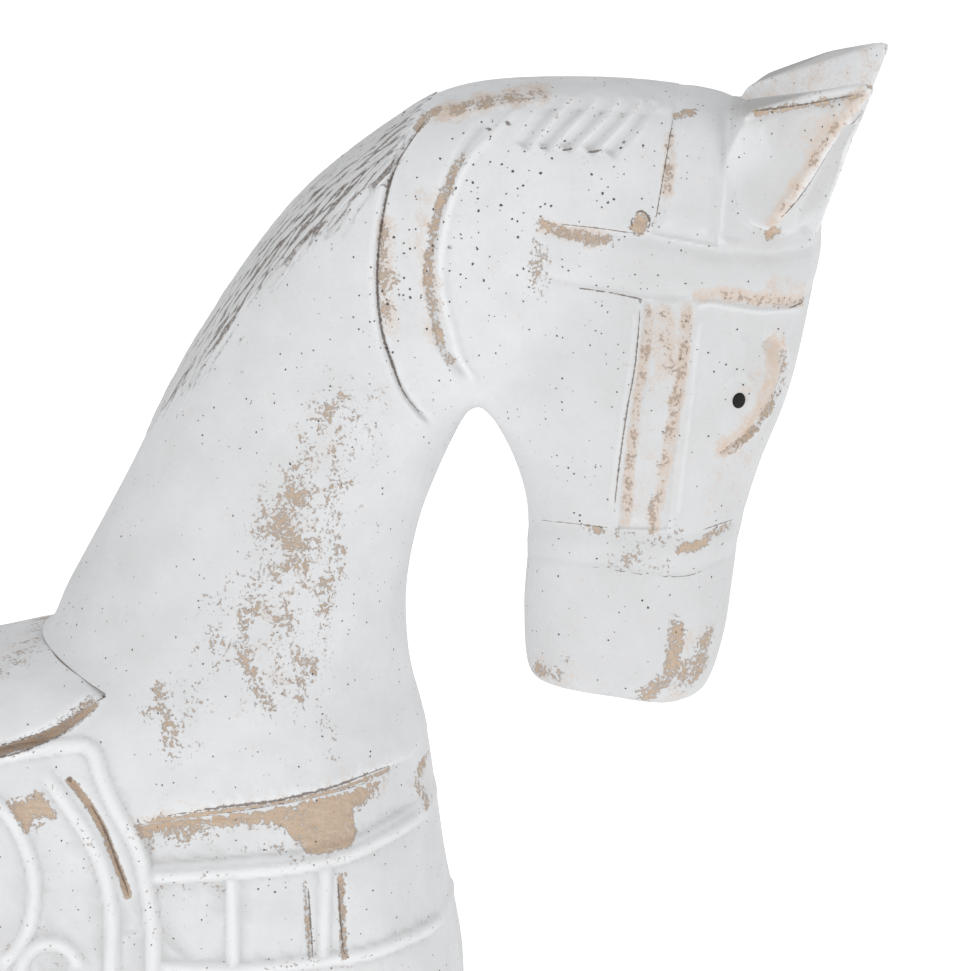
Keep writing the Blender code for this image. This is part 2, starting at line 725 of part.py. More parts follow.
def make_eye(side, horse_tree, head, finish):
    outward = Vector((0, SIDES[side], 0))
    outside = Vector((EYE_X, 0, EYE_Z)) + outward * 2 * horse_width()
    start = horse_tree.ray_cast(outside, -outward)[0] - outward * EYE_DEPTH
    name = "eye_" + side
    profile = [(0.0, EYE_RADIUS), (EYE_DEPTH, EYE_RADIUS)]
    profile += [(EYE_DEPTH + EYE_DOME * rise, EYE_RADIUS * width) for rise, width in EYE_DOME_SHARES]
    stand(piece(name, turned(name, profile), finish), start, outward)
    bore = EYE_RADIUS + HOLE_CLEARANCE
    socket_mesh = turned(name + "_socket", [(-HOLE_CLEARANCE, bore), (2 * EYE_DEPTH, bore)])
    drill(head, stand(helper(name + "_socket", socket_mesh), start, outward))


def tree_of(mesh):
    points = [vertex.co.copy() for vertex in mesh.vertices]
    return BVHTree.FromPolygons(points, [tuple(face.vertices) for face in mesh.polygons])


def build():
    clear_scene()
    bpy.context.scene.collection.objects.link(bpy.data.objects.new("rocking_horse", None))
    limewash = material("limewashed_wood", *LIMEWASH)
    wood = material("bare_wood", *BARE_WOOD)
    black = material("eye_black", *EYE_BLACK)
    steel = material("screw_steel", *STEEL)

    horse_tree = tree_of(horse_block("horse_skin"))
    room = helper("body_room", horse_block("body_room", GLUE_GAP))
    head = make_head_and_neck(limewash)
    body = make_body(limewash)
    saddle = make_saddle(limewash)
    for place, x in NECK_DOWEL_X.items():
        joint = Vector((x, 0, chest_seat_z(x)))
        dowel("neck_dowel_" + place, joint, chest_seat_normal(), NECK_DOWEL_LENGTH, (head, body), wood)
    for place, x in SADDLE_DOWEL_X.items():
        joint = Vector((x, 0, back_z(x)))
        dowel("saddle_dowel_" + place, joint, UP, SADDLE_DOWEL_LENGTH, (saddle, body), wood)

    runners = make_runners(limewash)
    for end in foot_angles():
        for side in SIDES:
            make_leg(end, side, horse_tree, room, body, runners[side], limewash, wood)
    make_tail(horse_tree, room, body, limewash, wood)
    for side in SIDES:
        make_eye(side, horse_tree, head, black)
    for place, angle in crossbar_angles().items():
        bar = make_crossbar("crossbar_" + place, angle, limewash)
        for side, sign in SIDES.items():
            make_screw(f"screw_{place}_{side}", angle, sign * TRACK / 2, bar, runners[side], steel)


build()
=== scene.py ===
"""Looks of a carved wooden rocking horse: chalky white paint on pale wood, rubbed back along the carving."""

import math

import bmesh
import bpy
import numpy as np
from mathutils import Matrix, Vector, noise
from mathutils.bvhtree import BVHTree


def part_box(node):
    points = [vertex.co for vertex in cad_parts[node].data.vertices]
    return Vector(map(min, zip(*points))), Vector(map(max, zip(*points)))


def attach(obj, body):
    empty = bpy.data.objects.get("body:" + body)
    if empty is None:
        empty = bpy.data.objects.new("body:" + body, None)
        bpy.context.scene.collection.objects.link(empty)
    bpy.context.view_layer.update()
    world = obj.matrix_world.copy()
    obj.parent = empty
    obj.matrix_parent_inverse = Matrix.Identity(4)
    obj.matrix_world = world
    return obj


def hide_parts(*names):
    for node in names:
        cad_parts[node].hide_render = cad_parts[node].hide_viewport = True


MM = 0.001
SIDES = {"left": 1, "right": -1}

# Camera: the horse's right side, a little from the front and from above
CAMERA_AZIMUTH = math.radians(5.0)
CAMERA_ELEVATION = math.radians(12.5)
CAMERA_TARGET = Vector((0.14635, 0.0, 0.3986))
CAMERA_DISTANCE = 6.0
CAMERA_SENSOR = 36.0
CAMERA_FIELD = 0.2420

# The carving and the wear are drawn on a plane that faces the camera's direction: a quarter of a millimetre
# to a unit, x to the right and y down, as on a frame of 970 by 971 units. The left side mirrors the right.
UNIT = 0.25 * MM
DRAWING_CENTRE = (485.0, 485.5)
FAR = 1000.0
OUTLINE_REACH = 12.0
# Drawn lines: steps of the curve from each point to the next, and the share that a carved line's end takes
CURVE_STEPS = 5
TAPER = 0.06
# Dark lines: reach in millimetres, reach in shares of their half width, ends as shares of length and of width
LINE_REACH = 4.0
LINE_SHARES = 5.0
LINE_TAPER = 0.2
LINE_END = 0.3
# Soft edges of wear: shares of a stroke's half width, and millimetres to each side of an outline
STROKE_EDGE = (0.35, 1.5)
PATCH_EDGE = 0.9
# How far a face's normal turns to the front, or to the side, where drawing for the front or the side fades in
FRONT_TURN = (0.25, 0.75)
SIDE_TURN = (0.2, 0.5)
# On the left side the wear is shifted ahead and up, in waves: height, length and constant shift in units
SHIFT_AHEAD = (34.0, 61.0, 16.0)
SHIFT_UP = (30.0, 53.0, 0.0)

# Carved horse, as stations from the muzzle over the poll and the withers to the rump, in millimetres.
# Each: top line x, z; under line x, z; half width; squareness of the oval section
HORSE_STATIONS = [
    (195.5, 346.0, 166.0, 351.0, 15.0, 2.8),
    (202.0, 350.0, 158.0, 353.5, 20.5, 2.9),
    (206.0, 362.0, 156.5, 369.0, 22.5, 3.0),
    (208.0, 375.5, 157.3, 383.0, 23.5, 3.0),
    (210.0, 389.0, 157.3, 396.0, 24.5, 3.0),
    (215.0, 406.0, 154.4, 407.0, 26.5, 3.0),
    (222.0, 424.0, 150.0, 416.0, 28.5, 3.0),
    (227.0, 446.0, 147.0, 419.5, 29.0, 3.0),
    (230.0, 466.0, 145.6, 420.3, 28.5, 3.0),
    (225.0, 484.0, 145.0, 420.3, 27.5, 3.0),
    (214.0, 495.2, 144.4, 420.0, 26.5, 3.0),
    (196.0, 500.3, 143.8, 419.6, 26.0, 3.0),
    (170.0, 502.0, 142.5, 418.5, 26.0, 2.9),
    (142.0, 499.9, 140.5, 415.2, 26.5, 2.8),
    (124.4, 491.3, 138.2, 410.6, 27.5, 2.7),
    (98.2, 469.3, 134.6, 402.6, 29.5, 2.6),
    (74.2, 434.8, 129.6, 389.0, 32.5, 2.4),
    (56.7, 400.2, 126.5, 372.0, 36.5, 2.2),
    (42.4, 373.0, 127.3, 354.0, 40.5, 2.0),
    (36.5, 361.6, 131.8, 335.0, 43.5, 2.1),
    (24.0, 358.6, 135.5, 304.0, 45.5, 2.7),
    (12.0, 357.0, 140.2, 272.0, 46.0, 3.2),
    (0.0, 355.5, 135.0, 242.0, 46.0, 3.4),
    (-12.0, 354.5, 106.0, 224.0, 46.0, 3.3),
    (-28.0, 354.0, 58.0, 217.0, 46.5, 3.2),
    (-48.0, 355.0, 8.0, 215.5, 47.0, 3.2),
    (-72.0, 359.0, -42.0, 218.0, 47.5, 3.1),
    (-102.0, 364.0, -89.0, 225.0, 48.5, 3.0),
    (-132.0, 365.0, -127.0, 234.0, 49.0, 2.8),
    (-159.0, 357.0, -159.0, 247.0, 47.0, 2.6),
    (-179.0, 341.0, -181.0, 265.0, 40.0, 2.4),
    (-190.5, 319.0, -192.0, 287.0, 26.0, 2.2),
    (-194.5, 307.0, -194.5, 298.0, 9.5, 2.0),
]
HORSE_RINGS_PER_STATION = 6
HORSE_RING_POINTS = 96

# Blocks, as side view outlines in millimetres: x, z
NECK_SPACE = [
    (-173.4, 454.2), (55.0, 352.5), (64.5, 320.5), (141.0, 332.6), (141.0, 100.0), (400.0, 100.0),
    (400.0, 700.0), (-173.4, 700.0),
]
BACK_CURVE = [
    (72.0, 361.5), (54.0, 351.0), (29.0, 339.5), (-12.0, 336.0), (-52.0, 338.5), (-78.0, 347.5),
    (-100.0, 366.0),
]
BACK_STEPS = 4
BACK_SPACE_TOP = 600.0
# Saddle stations: x; seat z; half width
SADDLE_STATIONS = [
    (62.0, 357.5, 46.0),
    (42.0, 360.4, 47.0),
    (18.0, 355.5, 47.0),
    (-12.0, 351.0, 47.0),
    (-42.0, 352.0, 47.5),
    (-64.0, 360.0, 47.0),
    (-79.0, 368.5, 44.0),
    (-88.0, 369.0, 39.0),
    (-93.0, 362.0, 30.0),
]
SADDLE_CORE_Z = 322.0
SADDLE_SQUARENESS = 3.2
# Seams: gap of the saddle, what a block is cut larger by until its carving is done, reach of a cutter
JOINT_GAP = 0.06
SEAM_SPARE = 7.0
SADDLE_SPARE = 3.0
CUTTER_REACH = 150.0
# Edges from this angle on stay sharp, and points nearer than this are merged
SHARP_EDGE = math.radians(50.0)
MERGE_DISTANCE = 0.01

# Ears. Each corner: x, y, z on the left side, in millimetres
EAR_CORNERS = [
    (246.2, 26.5, 508.2), (231.0, 26.5, 505.4), (213.0, 23.5, 498.6), (210.5, 7.5, 499.5),
    (220.0, 29.0, 470.0), (230.5, 10.0, 466.0), (203.0, 20.0, 475.0), (203.0, 8.0, 475.0),
]
EAR_ROUNDING = 1.0
EAR_ROUNDING_STEPS = 2
EAR_SCOOP_CENTRE = (252.0, 15.0, 487.0)
EAR_SCOOP_RADIUS = 15.0
# Wear at an ear's tip: full and none at these distances in millimetres, strength; haze inside the ears
EAR_TIP = (1.0, 6.0)
EAR_TIP_WEAR = 0.7
EAR_INSIDE_HAZE = 0.45

# Bridle straps, drawn as outlines. Each strap is crowned, and its edges are cut in below the cheek.
# Each: outline; depth at its edge in millimetres; where it fades in from the throat
BRIDLE_STRAPS = [
    ([(672, 60), (669, 116), (660, 175), (648, 238), (716, 251), (724, 170), (731, 95), (734, 60)],
     0.6, None),
    ([(500, 219), (537, 224), (591, 229), (649, 237), (716, 251), (738, 251), (811, 258), (880, 262),
      (880, 318), (802, 316), (776, 317), (719, 306), (690, 305), (639, 301), (604, 294), (569, 288),
      (500, 278)], 0.4, (530, 560)),
    ([(641, 290), (641, 304), (636, 364), (628, 415), (619, 482), (616, 535), (667, 535), (673, 482),
      (680, 415), (688, 347), (690, 311), (690, 290)], 0.75, None),
    ([(480, 515), (534, 519), (587, 524), (621, 528), (672, 530), (728, 530), (800, 528), (800, 570),
      (722, 575), (699, 577), (660, 576), (615, 569), (576, 566), (542, 561), (480, 556)], 0.25, None),
]
STRAP_WALL = 0.9
STRAP_CHANNEL = (0.8, 4.0)
STRAP_CROWN = 0.4
STRAP_CROWN_REACH = (1.0, 6.0)
STRAP_AHEAD = 0.35
# Scoop beside the eye: its steep outer edge and its shallow inner edge, its depth, wall and width
SCOOP_OUTER = [
    (766, 341), (774, 349), (781, 363), (783, 378), (779, 396), (770, 416), (757, 435), (742, 448),
    (716, 458),
]
SCOOP_INNER = [(724, 450), (740, 436), (751, 420), (759, 402), (763, 382), (763, 364), (758, 349)]
SCOOP_DEPTH = 1.5
SCOOP_WALL = 1.0
SCOOP_WIDTH = 4.2
SCOOP_REACH = 8.0

# Drawn lines that are raised as beads: points; half width and height in millimetres
BEAD_POWER = 0.75
HEAD_BEADS = [
    ([(528, 104), (492, 140), (470, 165), (454, 200), (443, 251), (443, 290), (453, 335), (462, 363),
      (482, 392)], 1.3, 0.6),
    ([(404, 138), (386, 170), (376, 218), (371, 275), (375, 328), (384, 362), (398, 396), (428, 436)],
     1.6, 0.25),
    ([(440, 112), (480, 103), (520, 97), (560, 95), (610, 98), (660, 103)], 3.5, 0.7),
    ([(721, 388), (730, 380), (739, 373), (744, 380), (750, 388)], 1.0, 0.25),
    ([(742, 342), (741, 358), (739, 373)], 1.3, 0.25),
    ([(740, 120), (790, 108), (862, 92), (845, 116), (815, 163), (770, 226)], 1.6, 0.6),
    ([(700, 318), (695, 347), (688, 415), (680, 482), (676, 520)], 0.9, 0.35),
    ([(694, 310), (706, 306), (719, 308), (760, 315), (800, 323)], 0.9, 0.35),
    ([(634, 307), (629, 364), (621, 415), (612, 482), (609, 515)], 0.8, 0.3),
    ([(733, 100), (726, 170), (717, 250)], 2.0, 0.35),
]
COLLAR_BEADS = [
    ([(140, 876), (223, 871), (293, 865), (364, 852), (428, 832), (500, 805)], 1.8, 1.3),
    ([(150, 965), (241, 967), (323, 958), (411, 946), (446, 937), (520, 920)], 1.8, 1.3),
    ([(233, 872), (235, 967)], 1.7, 1.2),
    ([(327, 862), (324, 958)], 1.7, 1.2),
]
# Saddle cloth: drawn lines as above, and half length and half height of the oval that the line goes on along.
# The oval's part, in degrees, with so many points, and the power of its squareness
CLOTH_CENTRE = (-20.0, 290.0)
CLOTH_OVAL_PART = (-12, -90, 9)
CLOTH_OVAL_POWER = 2 / 3
CLOTH_BEADS = [
    ([(-195, 767), (-100, 764), (-40, 760), (0, 755), (29, 750), (88, 744), (104, 775), (117, 805),
      (138, 843), (148, 882), (154, 923), (155, 970)], 2.1, 1.4, (88.0, 58.0)),
    ([(38, 758), (67, 799), (91, 835), (107, 873), (114, 917), (113, 970)], 2.0, 1.4, (79.5, 50.0)),
    ([(-30, 780), (0, 802), (18, 823), (32, 855), (37, 887), (32, 923), (18, 949), (0, 964)],
     1.9, 1.3, None),
]
SCROLL_CENTRE = (52.0, 970.0)
SCROLL_RADIUS = 29.0
SCROLL_POINTS = 33
SCROLL_BEAD = (1.9, 1.3)
# Groove under the saddle's edge: half width and depth, drop below the edge, steps of its curve, front end
SADDLE_GROOVE = (1.8, 1.4)
SADDLE_GROOVE_DROP = 0.6
SADDLE_GROOVE_STEPS = 12
SADDLE_GROOVE_END = 53.0
# The groove's end curves up: from where, over what length and how far
SADDLE_GROOVE_LIFT = (42.0, 11.0, 2.6)
# Bare wood in the groove: strength, and shares of its half width from where to where it ends
GROOVE_BARE = 0.9
GROOVE_BARE_END = (0.55, 1.1)
# Dirt and painted shade on the groove's rim: strength and width. Dark lines of dirt and painted shade along
# it: shares of its half width, half widths
GROOVE_RIM = (0.6, 0.45)
SADDLE_GROOVE_LINES = [(-0.85, 0.16), (0.95, 0.24)]
# How much of the collar's rise is left in front, and where it grows to its full rise at the sides
COLLAR_AHEAD = 0.15
COLLAR_SIDE = (12.0, 28.0)
# Carving and marks on the head's sides fade out towards the middle, and inside the ears
CLEAN_FRONT = (9.0, 16.0)
HEAD_FRONT_TURN = (0.1, 0.4)
OUTWARD_TURN = (-0.3, 0.1)
HEAD_HALF_WIDTH = 28.0
# The neck carries the chest's carving and wear below this height of the drawing
NECK_FOOT = 690.0
BODY_HALF_WIDTH = 46.0
# Drawn lines that are cut as grooves: points; half width and depth in millimetres
GROOVE_POWER = 2
HEAD_GROOVES = [
    ([(445, 85), (426, 121), (413, 137), (394, 170), (383, 218), (378, 275), (382, 328), (392, 362),
      (405, 394), (435, 434)], 1.0, 1.1),
    ([(490, 118), (465, 152), (448, 188), (438, 219), (431, 258), (429, 285), (435, 311), (444, 351),
      (470, 384)], 2.0, 1.0),
    ([(520, 151), (540, 124), (562, 96)], 2.7, 1.4),
    ([(540, 152), (563, 126), (592, 96)], 2.7, 1.6),
    ([(562, 153), (586, 128), (614, 97)], 2.7, 1.6),
    ([(585, 155), (608, 130), (635, 99)], 2.7, 1.6),
    ([(606, 159), (628, 134), (652, 103)], 2.7, 1.4),
    ([(659, 110), (650, 175), (638, 230)], 5.0, 0.7),
    ([(744, 122), (737, 180), (729, 246)], 4.5, 0.6),
    ([(800, 250), (825, 190), (850, 130)], 5.0, 1.6),
]
BODY_GROOVES = [
    ([(70, 776), (88, 799), (103, 823), (117, 858), (126, 882), (131, 896)], 1.3, 1.4),
    ([(306, 881), (308, 911), (311, 956)], 0.9, 0.6),
    ([(341, 876), (343, 908), (345, 953)], 1.2, 0.8),
]

# Bare wood in the carving, drawn as strokes: points; half width in millimetres; strength from 0 to 1
HEAD_BARE = [
    ([(648, 312), (643, 364), (634, 419), (628, 476), (625, 515)], 1.4, 0.42),
    ([(685, 312), (681, 364), (671, 415), (661, 465), (653, 520)], 1.6, 0.40),
    ([(664, 315), (662, 350), (668, 372)], 2.6, 0.30),
    ([(651, 500), (650, 532)], 1.0, 0.55),
    ([(700, 299), (716, 297), (758, 304), (787, 312), (801, 314)], 1.5, 0.36),
    ([(540, 227), (559, 233), (591, 241), (607, 243)], 1.8, 0.60),
    ([(640, 222), (638, 230)], 2.3, 1.0),
    ([(667, 150), (666, 190)], 1.4, 0.45),
    ([(674, 118), (692, 117)], 1.2, 0.7),
    ([(455, 113), (483, 108), (505, 102), (540, 99)], 1.8, 0.56),
    ([(419, 130), (426, 121), (437, 113)], 1.4, 0.7),
    ([(461, 160), (448, 188), (437, 219), (430, 258), (429, 285), (435, 318), (444, 352), (451, 362)],
     1.5, 0.66),
    ([(386, 230), (384, 275), (388, 320)], 1.6, 0.60),
    ([(396, 265), (398, 312)], 1.4, 0.45),
    ([(858, 99), (839, 121), (808, 166), (778, 212)], 1.2, 0.36),
    ([(752, 118), (800, 110), (856, 100)], 0.8, 0.70),
    ([(772, 234), (766, 238)], 1.4, 0.95),
    ([(778, 362), (779, 385), (772, 405), (758, 428), (742, 445), (726, 454)], 1.0, 0.50),
    ([(678, 549), (699, 546)], 1.4, 0.75),
    ([(704, 541), (728, 536)], 1.4, 0.5),
    ([(578, 525), (600, 530)], 1.2, 0.5),
]
# Bare places that are rubbed over flat wood. They aren't the same on both sides
HEAD_RUBBED = [
    ([(536, 248), (540, 268), (538, 290)], 3.0, 0.46),
    ([(675, 621), (673, 653), (668, 673), (655, 687), (641, 694)], 2.2, 0.68),
    ([(708, 652), (698, 666), (688, 684)], 4.4, 0.62),
    ([(540, 668), (556, 673)], 2.2, 0.62),
    ([(560, 662), (568, 656)], 1.2, 0.45),
    ([(612, 562), (640, 556), (662, 566)], 2.8, 0.38),
    ([(618, 532), (650, 545), (676, 534)], 2.6, 0.36),
    ([(345, 395), (349, 440), (340, 485)], 4.4, 0.38),
    ([(332, 408), (312, 436), (296, 470)], 3.6, 0.42),
    ([(300, 488), (284, 528), (300, 552)], 5.6, 0.54),
    ([(270, 505), (262, 545)], 3.6, 0.40),
    ([(334, 505), (338, 560), (325, 606), (318, 640)], 3.2, 0.44),
    ([(284, 566), (262, 588), (250, 602)], 4.4, 0.42),
    ([(256, 590), (250, 620), (244, 650), (256, 682), (267, 703)], 2.4, 0.58),
    ([(312, 660), (305, 682), (302, 700)], 2.8, 0.56),
    ([(226, 592), (214, 620), (226, 650)], 4.6, 0.36),
    ([(290, 600), (285, 640), (300, 672)], 5.4, 0.37),
    ([(328, 715), (333, 745)], 2.6, 0.38),
    ([(160, 690), (166, 718), (174, 748)], 3.2, 0.55),
    ([(152, 712), (180, 728)], 2.8, 0.46),
    ([(345, 420), (310, 500), (280, 600), (290, 680)], 14.0, 0.26),
    ([(230, 620), (190, 690), (180, 740)], 8.0, 0.24),
    ([(875, 52), (883, 49)], 1.6, 0.6),
]
BODY_BARE = [
    ([(72, 778), (88, 799), (103, 823), (117, 858), (126, 882), (130, 893)], 1.1, 0.95),
    ([(306, 881), (308, 911), (311, 956)], 0.7, 0.55),
    ([(341, 877), (343, 908), (345, 952)], 1.1, 0.75),
    ([(338, 876), (366, 874)], 0.7, 0.5),
    ([(408, 806), (412, 820), (415, 834)], 0.9, 0.5),
    ([(150, 845), (200, 842), (260, 840), (300, 854)], 2.6, 0.30),
    ([(162, 886), (200, 884)], 1.0, 0.40),
    ([(35, 644), (20, 655), (4, 672)], 3.0, 0.34),
]
# Bare places with a drawn outline
BODY_BARE_PATCHES = [
    [(137, 824), (164, 815), (223, 807), (276, 801), (323, 791), (388, 783), (372, 806), (354, 817),
     (358, 838), (348, 848), (311, 852), (298, 840), (284, 826), (273, 821), (235, 825), (176, 831),
     (144, 838)],
    [(10, 802), (20, 795), (47, 791), (60, 817), (38, 823), (29, 832)],
    [(400, 797), (417, 784), (412, 800)],
]

# Soft haze of wood under thin paint: points; half width in millimetres; strength
HEAD_HAZE = [
    ([(649, 312), (642, 364), (633, 419), (627, 488), (624, 522)], 1.6, 1.0),
    ([(685, 310), (681, 364), (672, 419), (660, 488), (652, 528)], 1.9, 1.0),
    ([(664, 316), (662, 345), (664, 372)], 3.4, 0.80),
    ([(654, 380), (645, 450), (638, 515)], 3.0, 0.35),
    ([(698, 298), (725, 297), (760, 302), (798, 313)], 2.2, 1.0),
    ([(770, 290), (790, 302)], 3.0, 0.75),
    ([(768, 348), (770, 368), (768, 390), (757, 414), (742, 435), (724, 451)], 2.8, 1.0),
    ([(755, 365), (745, 430)], 4.0, 0.40),
    ([(857, 99), (838, 121), (806, 166), (770, 226)], 2.0, 1.0),
    ([(840, 112), (800, 138)], 4.0, 0.55),
    ([(800, 82), (860, 66)], 5.0, 0.25),
    ([(545, 229), (600, 241)], 2.4, 0.9),
    ([(440, 118), (490, 105), (540, 97)], 3.0, 0.85),
    ([(425, 200), (426, 260), (436, 340)], 3.0, 0.60),
    ([(387, 225), (386, 275), (392, 330)], 2.4, 0.90),
    ([(668, 140), (666, 195)], 2.0, 0.8),
    ([(330, 420), (290, 520), (300, 560), (260, 620), (300, 680)], 8.0, 0.38),
    ([(285, 510), (290, 545)], 6.0, 0.55),
    ([(700, 650), (680, 690)], 6.0, 0.5),
    ([(545, 668), (560, 676)], 4.0, 0.5),
    ([(735, 470), (722, 500)], 6.0, 0.3),
]
BODY_HAZE = [
    ([(150, 822), (260, 812), (370, 795)], 5.0, 0.5),
    ([(20, 650), (5, 668)], 5.0, 0.3),
    ([(408, 800), (418, 826)], 3.0, 0.4),
]

# Painted shade: greyer paint on the ear's upper face and its scoop, over the face and on the neck, where
# these should read darker: points; half width in millimetres; strength
HEAD_PAINTED_SHADE = [
    ([(858, 128), (836, 168), (806, 218)], 3.5, 0.5),
    ([(750, 108), (800, 98), (856, 89)], 5.0, 0.9),
    ([(812, 140), (770, 205)], 9.0, 0.35),
    ([(690, 320), (640, 560), (610, 650)], 36.0, 0.26),
    ([(300, 330), (160, 590)], 28.0, 0.14),
]

# Pocket between the neck's lower edge and the collar: depth, width of its wall, outline
COLLAR_POCKET = (1.3, 1.2)
COLLAR_POCKET_OUTLINE = [
    (136, 822), (223, 805), (323, 789), (400, 778), (440, 740), (470, 760), (440, 818), (364, 842),
    (293, 855), (223, 861), (152, 866),
]

# Dark lines where dirt lies in a cut: points; half width in millimetres
HEAD_LINES = [
    ([(426, 121), (413, 137), (394, 170), (383, 218), (378, 275), (382, 328), (392, 362), (405, 394),
      (422, 416)], 0.36),
    ([(752, 117), (800, 109), (856, 99)], 0.22),
    ([(858, 118), (830, 150), (800, 195), (776, 222)], 0.24),
    ([(570, 289), (604, 294), (639, 301), (639, 304)], 0.20),
    ([(639, 304), (634, 364), (625, 415), (616, 482), (613, 520)], 0.22),
    ([(782, 317), (802, 316)], 0.25),
    ([(672, 116), (662, 175), (652, 232)], 0.17),
    ([(650, 233), (636, 236), (590, 230), (540, 225)], 0.15),
    ([(536, 153), (546, 150)], 0.30),
    ([(560, 154), (572, 151)], 0.30),
    ([(584, 156), (602, 153)], 0.40),
    ([(735, 92), (735, 112)], 0.50),
    ([(534, 519), (587, 525), (612, 528)], 0.13),
    ([(700, 532), (728, 531)], 0.20),
    ([(576, 566), (615, 570), (660, 576), (715, 575)], 0.11),
    ([(633, 233), (630, 224), (636, 215), (644, 216), (648, 225), (645, 234)], 0.25),
]
# Single open pores that are large enough to see one by one
HEAD_SPECKS = [
    (489, 132), (508, 127), (450, 249), (449, 270), (669, 138), (623, 144), (242, 341), (243, 373),
    (334, 251), (356, 240), (357, 262), (347, 313), (318, 398), (386, 188), (579, 266), (592, 403),
    (623, 366),
]
SPECK_RADIUS = 0.5
# Dark lines on the body, as above. The first is a painted shadow under the neck's lower edge, along the top
# of the pocket
BODY_LINES = [
    ([(138, 821), (164, 813), (223, 805), (276, 799), (323, 789), (384, 782)], 0.45),
    ([(69, 775), (76, 780)], 0.60),
    ([(92, 803), (106, 827), (119, 862), (128, 886), (131, 896)], 0.34),
    ([(309, 881), (311, 911), (314, 956)], 0.24),
    ([(339, 876), (341, 908), (345, 953)], 0.26),
]
# Where open pores crowd: points; half width in millimetres; strength. Elsewhere they are sparse
HEAD_PORES = [
    ([(395, 330), (420, 240), (470, 160)], 10.0, 1.1),
    ([(480, 230), (560, 190), (610, 180)], 14.0, 1.1),
    ([(500, 280), (480, 330)], 10.0, 0.6),
    ([(330, 400), (290, 300), (380, 230)], 10.0, 0.5),
    ([(600, 420), (590, 520), (640, 600)], 16.0, 0.5),
]
PLAIN_PORES = 0.25
SADDLE_PORES = 0.4

# Mane: its outline on the drawing, and where the gouge strokes run
MANE_OUTLINE = [
    (424, 40), (414, 118), (394, 172), (352, 209), (330, 236), (302, 257), (284, 273), (268, 293),
    (247, 314), (226, 344), (206, 365), (192, 388), (171, 404), (150, 428), (60, 420), (120, 250), (300, 90),
]
MANE_FLOW = Vector((-0.50, 0.0, -0.86))
# Darker ground between the mane's ridges, and painted shade that greys the mane and its ridges
MANE_DARK_GROUND = 0.80
MANE_PAINTED_SHADE = 0.40
MANE_BORDER = (-1.5, 1.0)
# Streaks in the mane's border: width, length and reach in millimetres
MANE_STREAK = (1.5, 12.0, 4.0)
MANE_RIDGES = {"Length": 9.5 * MM, "Width": 1.25 * MM, "Height": 0.9 * MM, "Spacing": 2.2 * MM, "Seed": 4}
# Tail: the path of its hair in millimetres, x and z, and the height at which its strokes end
TAIL_PATH = [
    (-168, 332), (-190, 337), (-208, 328), (-222, 303), (-227.5, 272), (-227, 240), (-229, 212), (-237, 192),
]
TAIL_STEPS = 6
TAIL_HAIR_END = (203.0 * MM, 209.0 * MM)
TAIL_RIDGES = {"Length": 16.0 * MM, "Width": 2.0 * MM, "Height": 1.3 * MM, "Spacing": 2.8 * MM, "Seed": 9}
# Ridges: how far one strays from the flow, its least and most size, the most of them on a square metre
RIDGE_STRAY = 0.16
RIDGE_SIZES = (0.5, 1.2)
RIDGE_DENSITY = 4e6

# Wear on edges and in creases: passes that set the size of an edge, rise in millimetres over its
# surroundings, strengths of wear on edges and in creases, and of dirt with painted shade in creases
EDGE_PASSES = 8
EDGE_RISE = (0.10, 0.40)
EDGE_WEAR = 0.22
CREASE_WEAR = 0.20
CREASE_DIRT_AND_SHADE = 0.22
# Painted highlight and painted shade: whiter paint on ridges and greyer paint in hollows, so that the carving
# reads as lit and shaded: rise in millimetres as above, strengths
RELIEF = (0.05, 0.50)
RIDGE_PAINTED_HIGHLIGHT = 0.75
HOLLOW_PAINTED_SHADE = 0.45
# Wear in clouds, on the horse's rear and on legs, tail and runners: size of a cloud in millimetres, where the
# wood is bare or hazy, how bare, where the horse's rear begins behind its middle, and the noise
WEAR_CLOUD = 34.0
WEAR_LIMITS = (0.30, 0.75)
HAZE_LIMITS = (0.15, 0.80)
WORN_PATCH = 0.50
REAR_FROM = (25.0, 60.0)
CLOUD_NOISE = (0.8, 2.0, 3)

# Eyes: half width, half height and rise in millimetres
EYE_SIZE = (1.72, 2.05, 0.5)

# Screws
SCREW = {"Head Radius": 4.0 * MM, "Head Depth": 2.6 * MM, "Shank Radius": 2.0 * MM,
         "Shank Length": 25.0 * MM, "Tip Radius": 0.3 * MM, "Recess Width": 1.1 * MM}

# Floor: radius in metres, the light it gives off as a painted glow, near the horse and far away, and the
# distances where it changes
FLOOR_RADIUS = 9.0
FLOOR_PAINTED_GLOW = (0.38, 0.62)
FLOOR_PAINTED_GLOW_REACH = (0.45, 1.10)
# Light from all round: strengths below and above, and the heights between which it grows
WORLD_STRENGTH = (0.45, 0.73)
WORLD_RISE = (0.1, 0.9)
# Lamps: name; place and size in metres; power in watts
LIGHTS = [
    ("key_light", (-1.7, -2.4, 1.5), 0.8, 14.5),
    ("fill_light", (2.4, -1.8, 0.6), 1.5, 7.5),
]

# Meshes: voxel size in millimetres and passes of smoothing, share of a pass, and a carved block's most faces
HEAD_MESH = (0.6, 5)
BODY_MESH = (0.65, 5)
SADDLE_MESH = (0.9, 6)
LEG_MESH = (1.2, 12)
TAIL_MESH = (1.2, 14)
RUNNER_MESH = (1.2, 3)
BAR_MESH = (0.8, 3)
SMOOTHING = 0.5
MOST_FACES = 185000

# Paint and wood
PAINT = "#e8e9eb"
# Painted highlight: whiter paint on ridges
PAINTED_HIGHLIGHT_COLOUR = "#f6f7f8"
# Painted shade: greyer paint in hollows and where the head is drawn darker
PAINTED_SHADE_COLOUR = "#b9b8b7"
PAINT_THIN = "#dfe0e1"
WOOD_PALE = "#dac6b2"
WOOD_DARK = "#b89f87"
WOOD_VEILED = "#d9c6b6"
FLECK = "#aaa099"
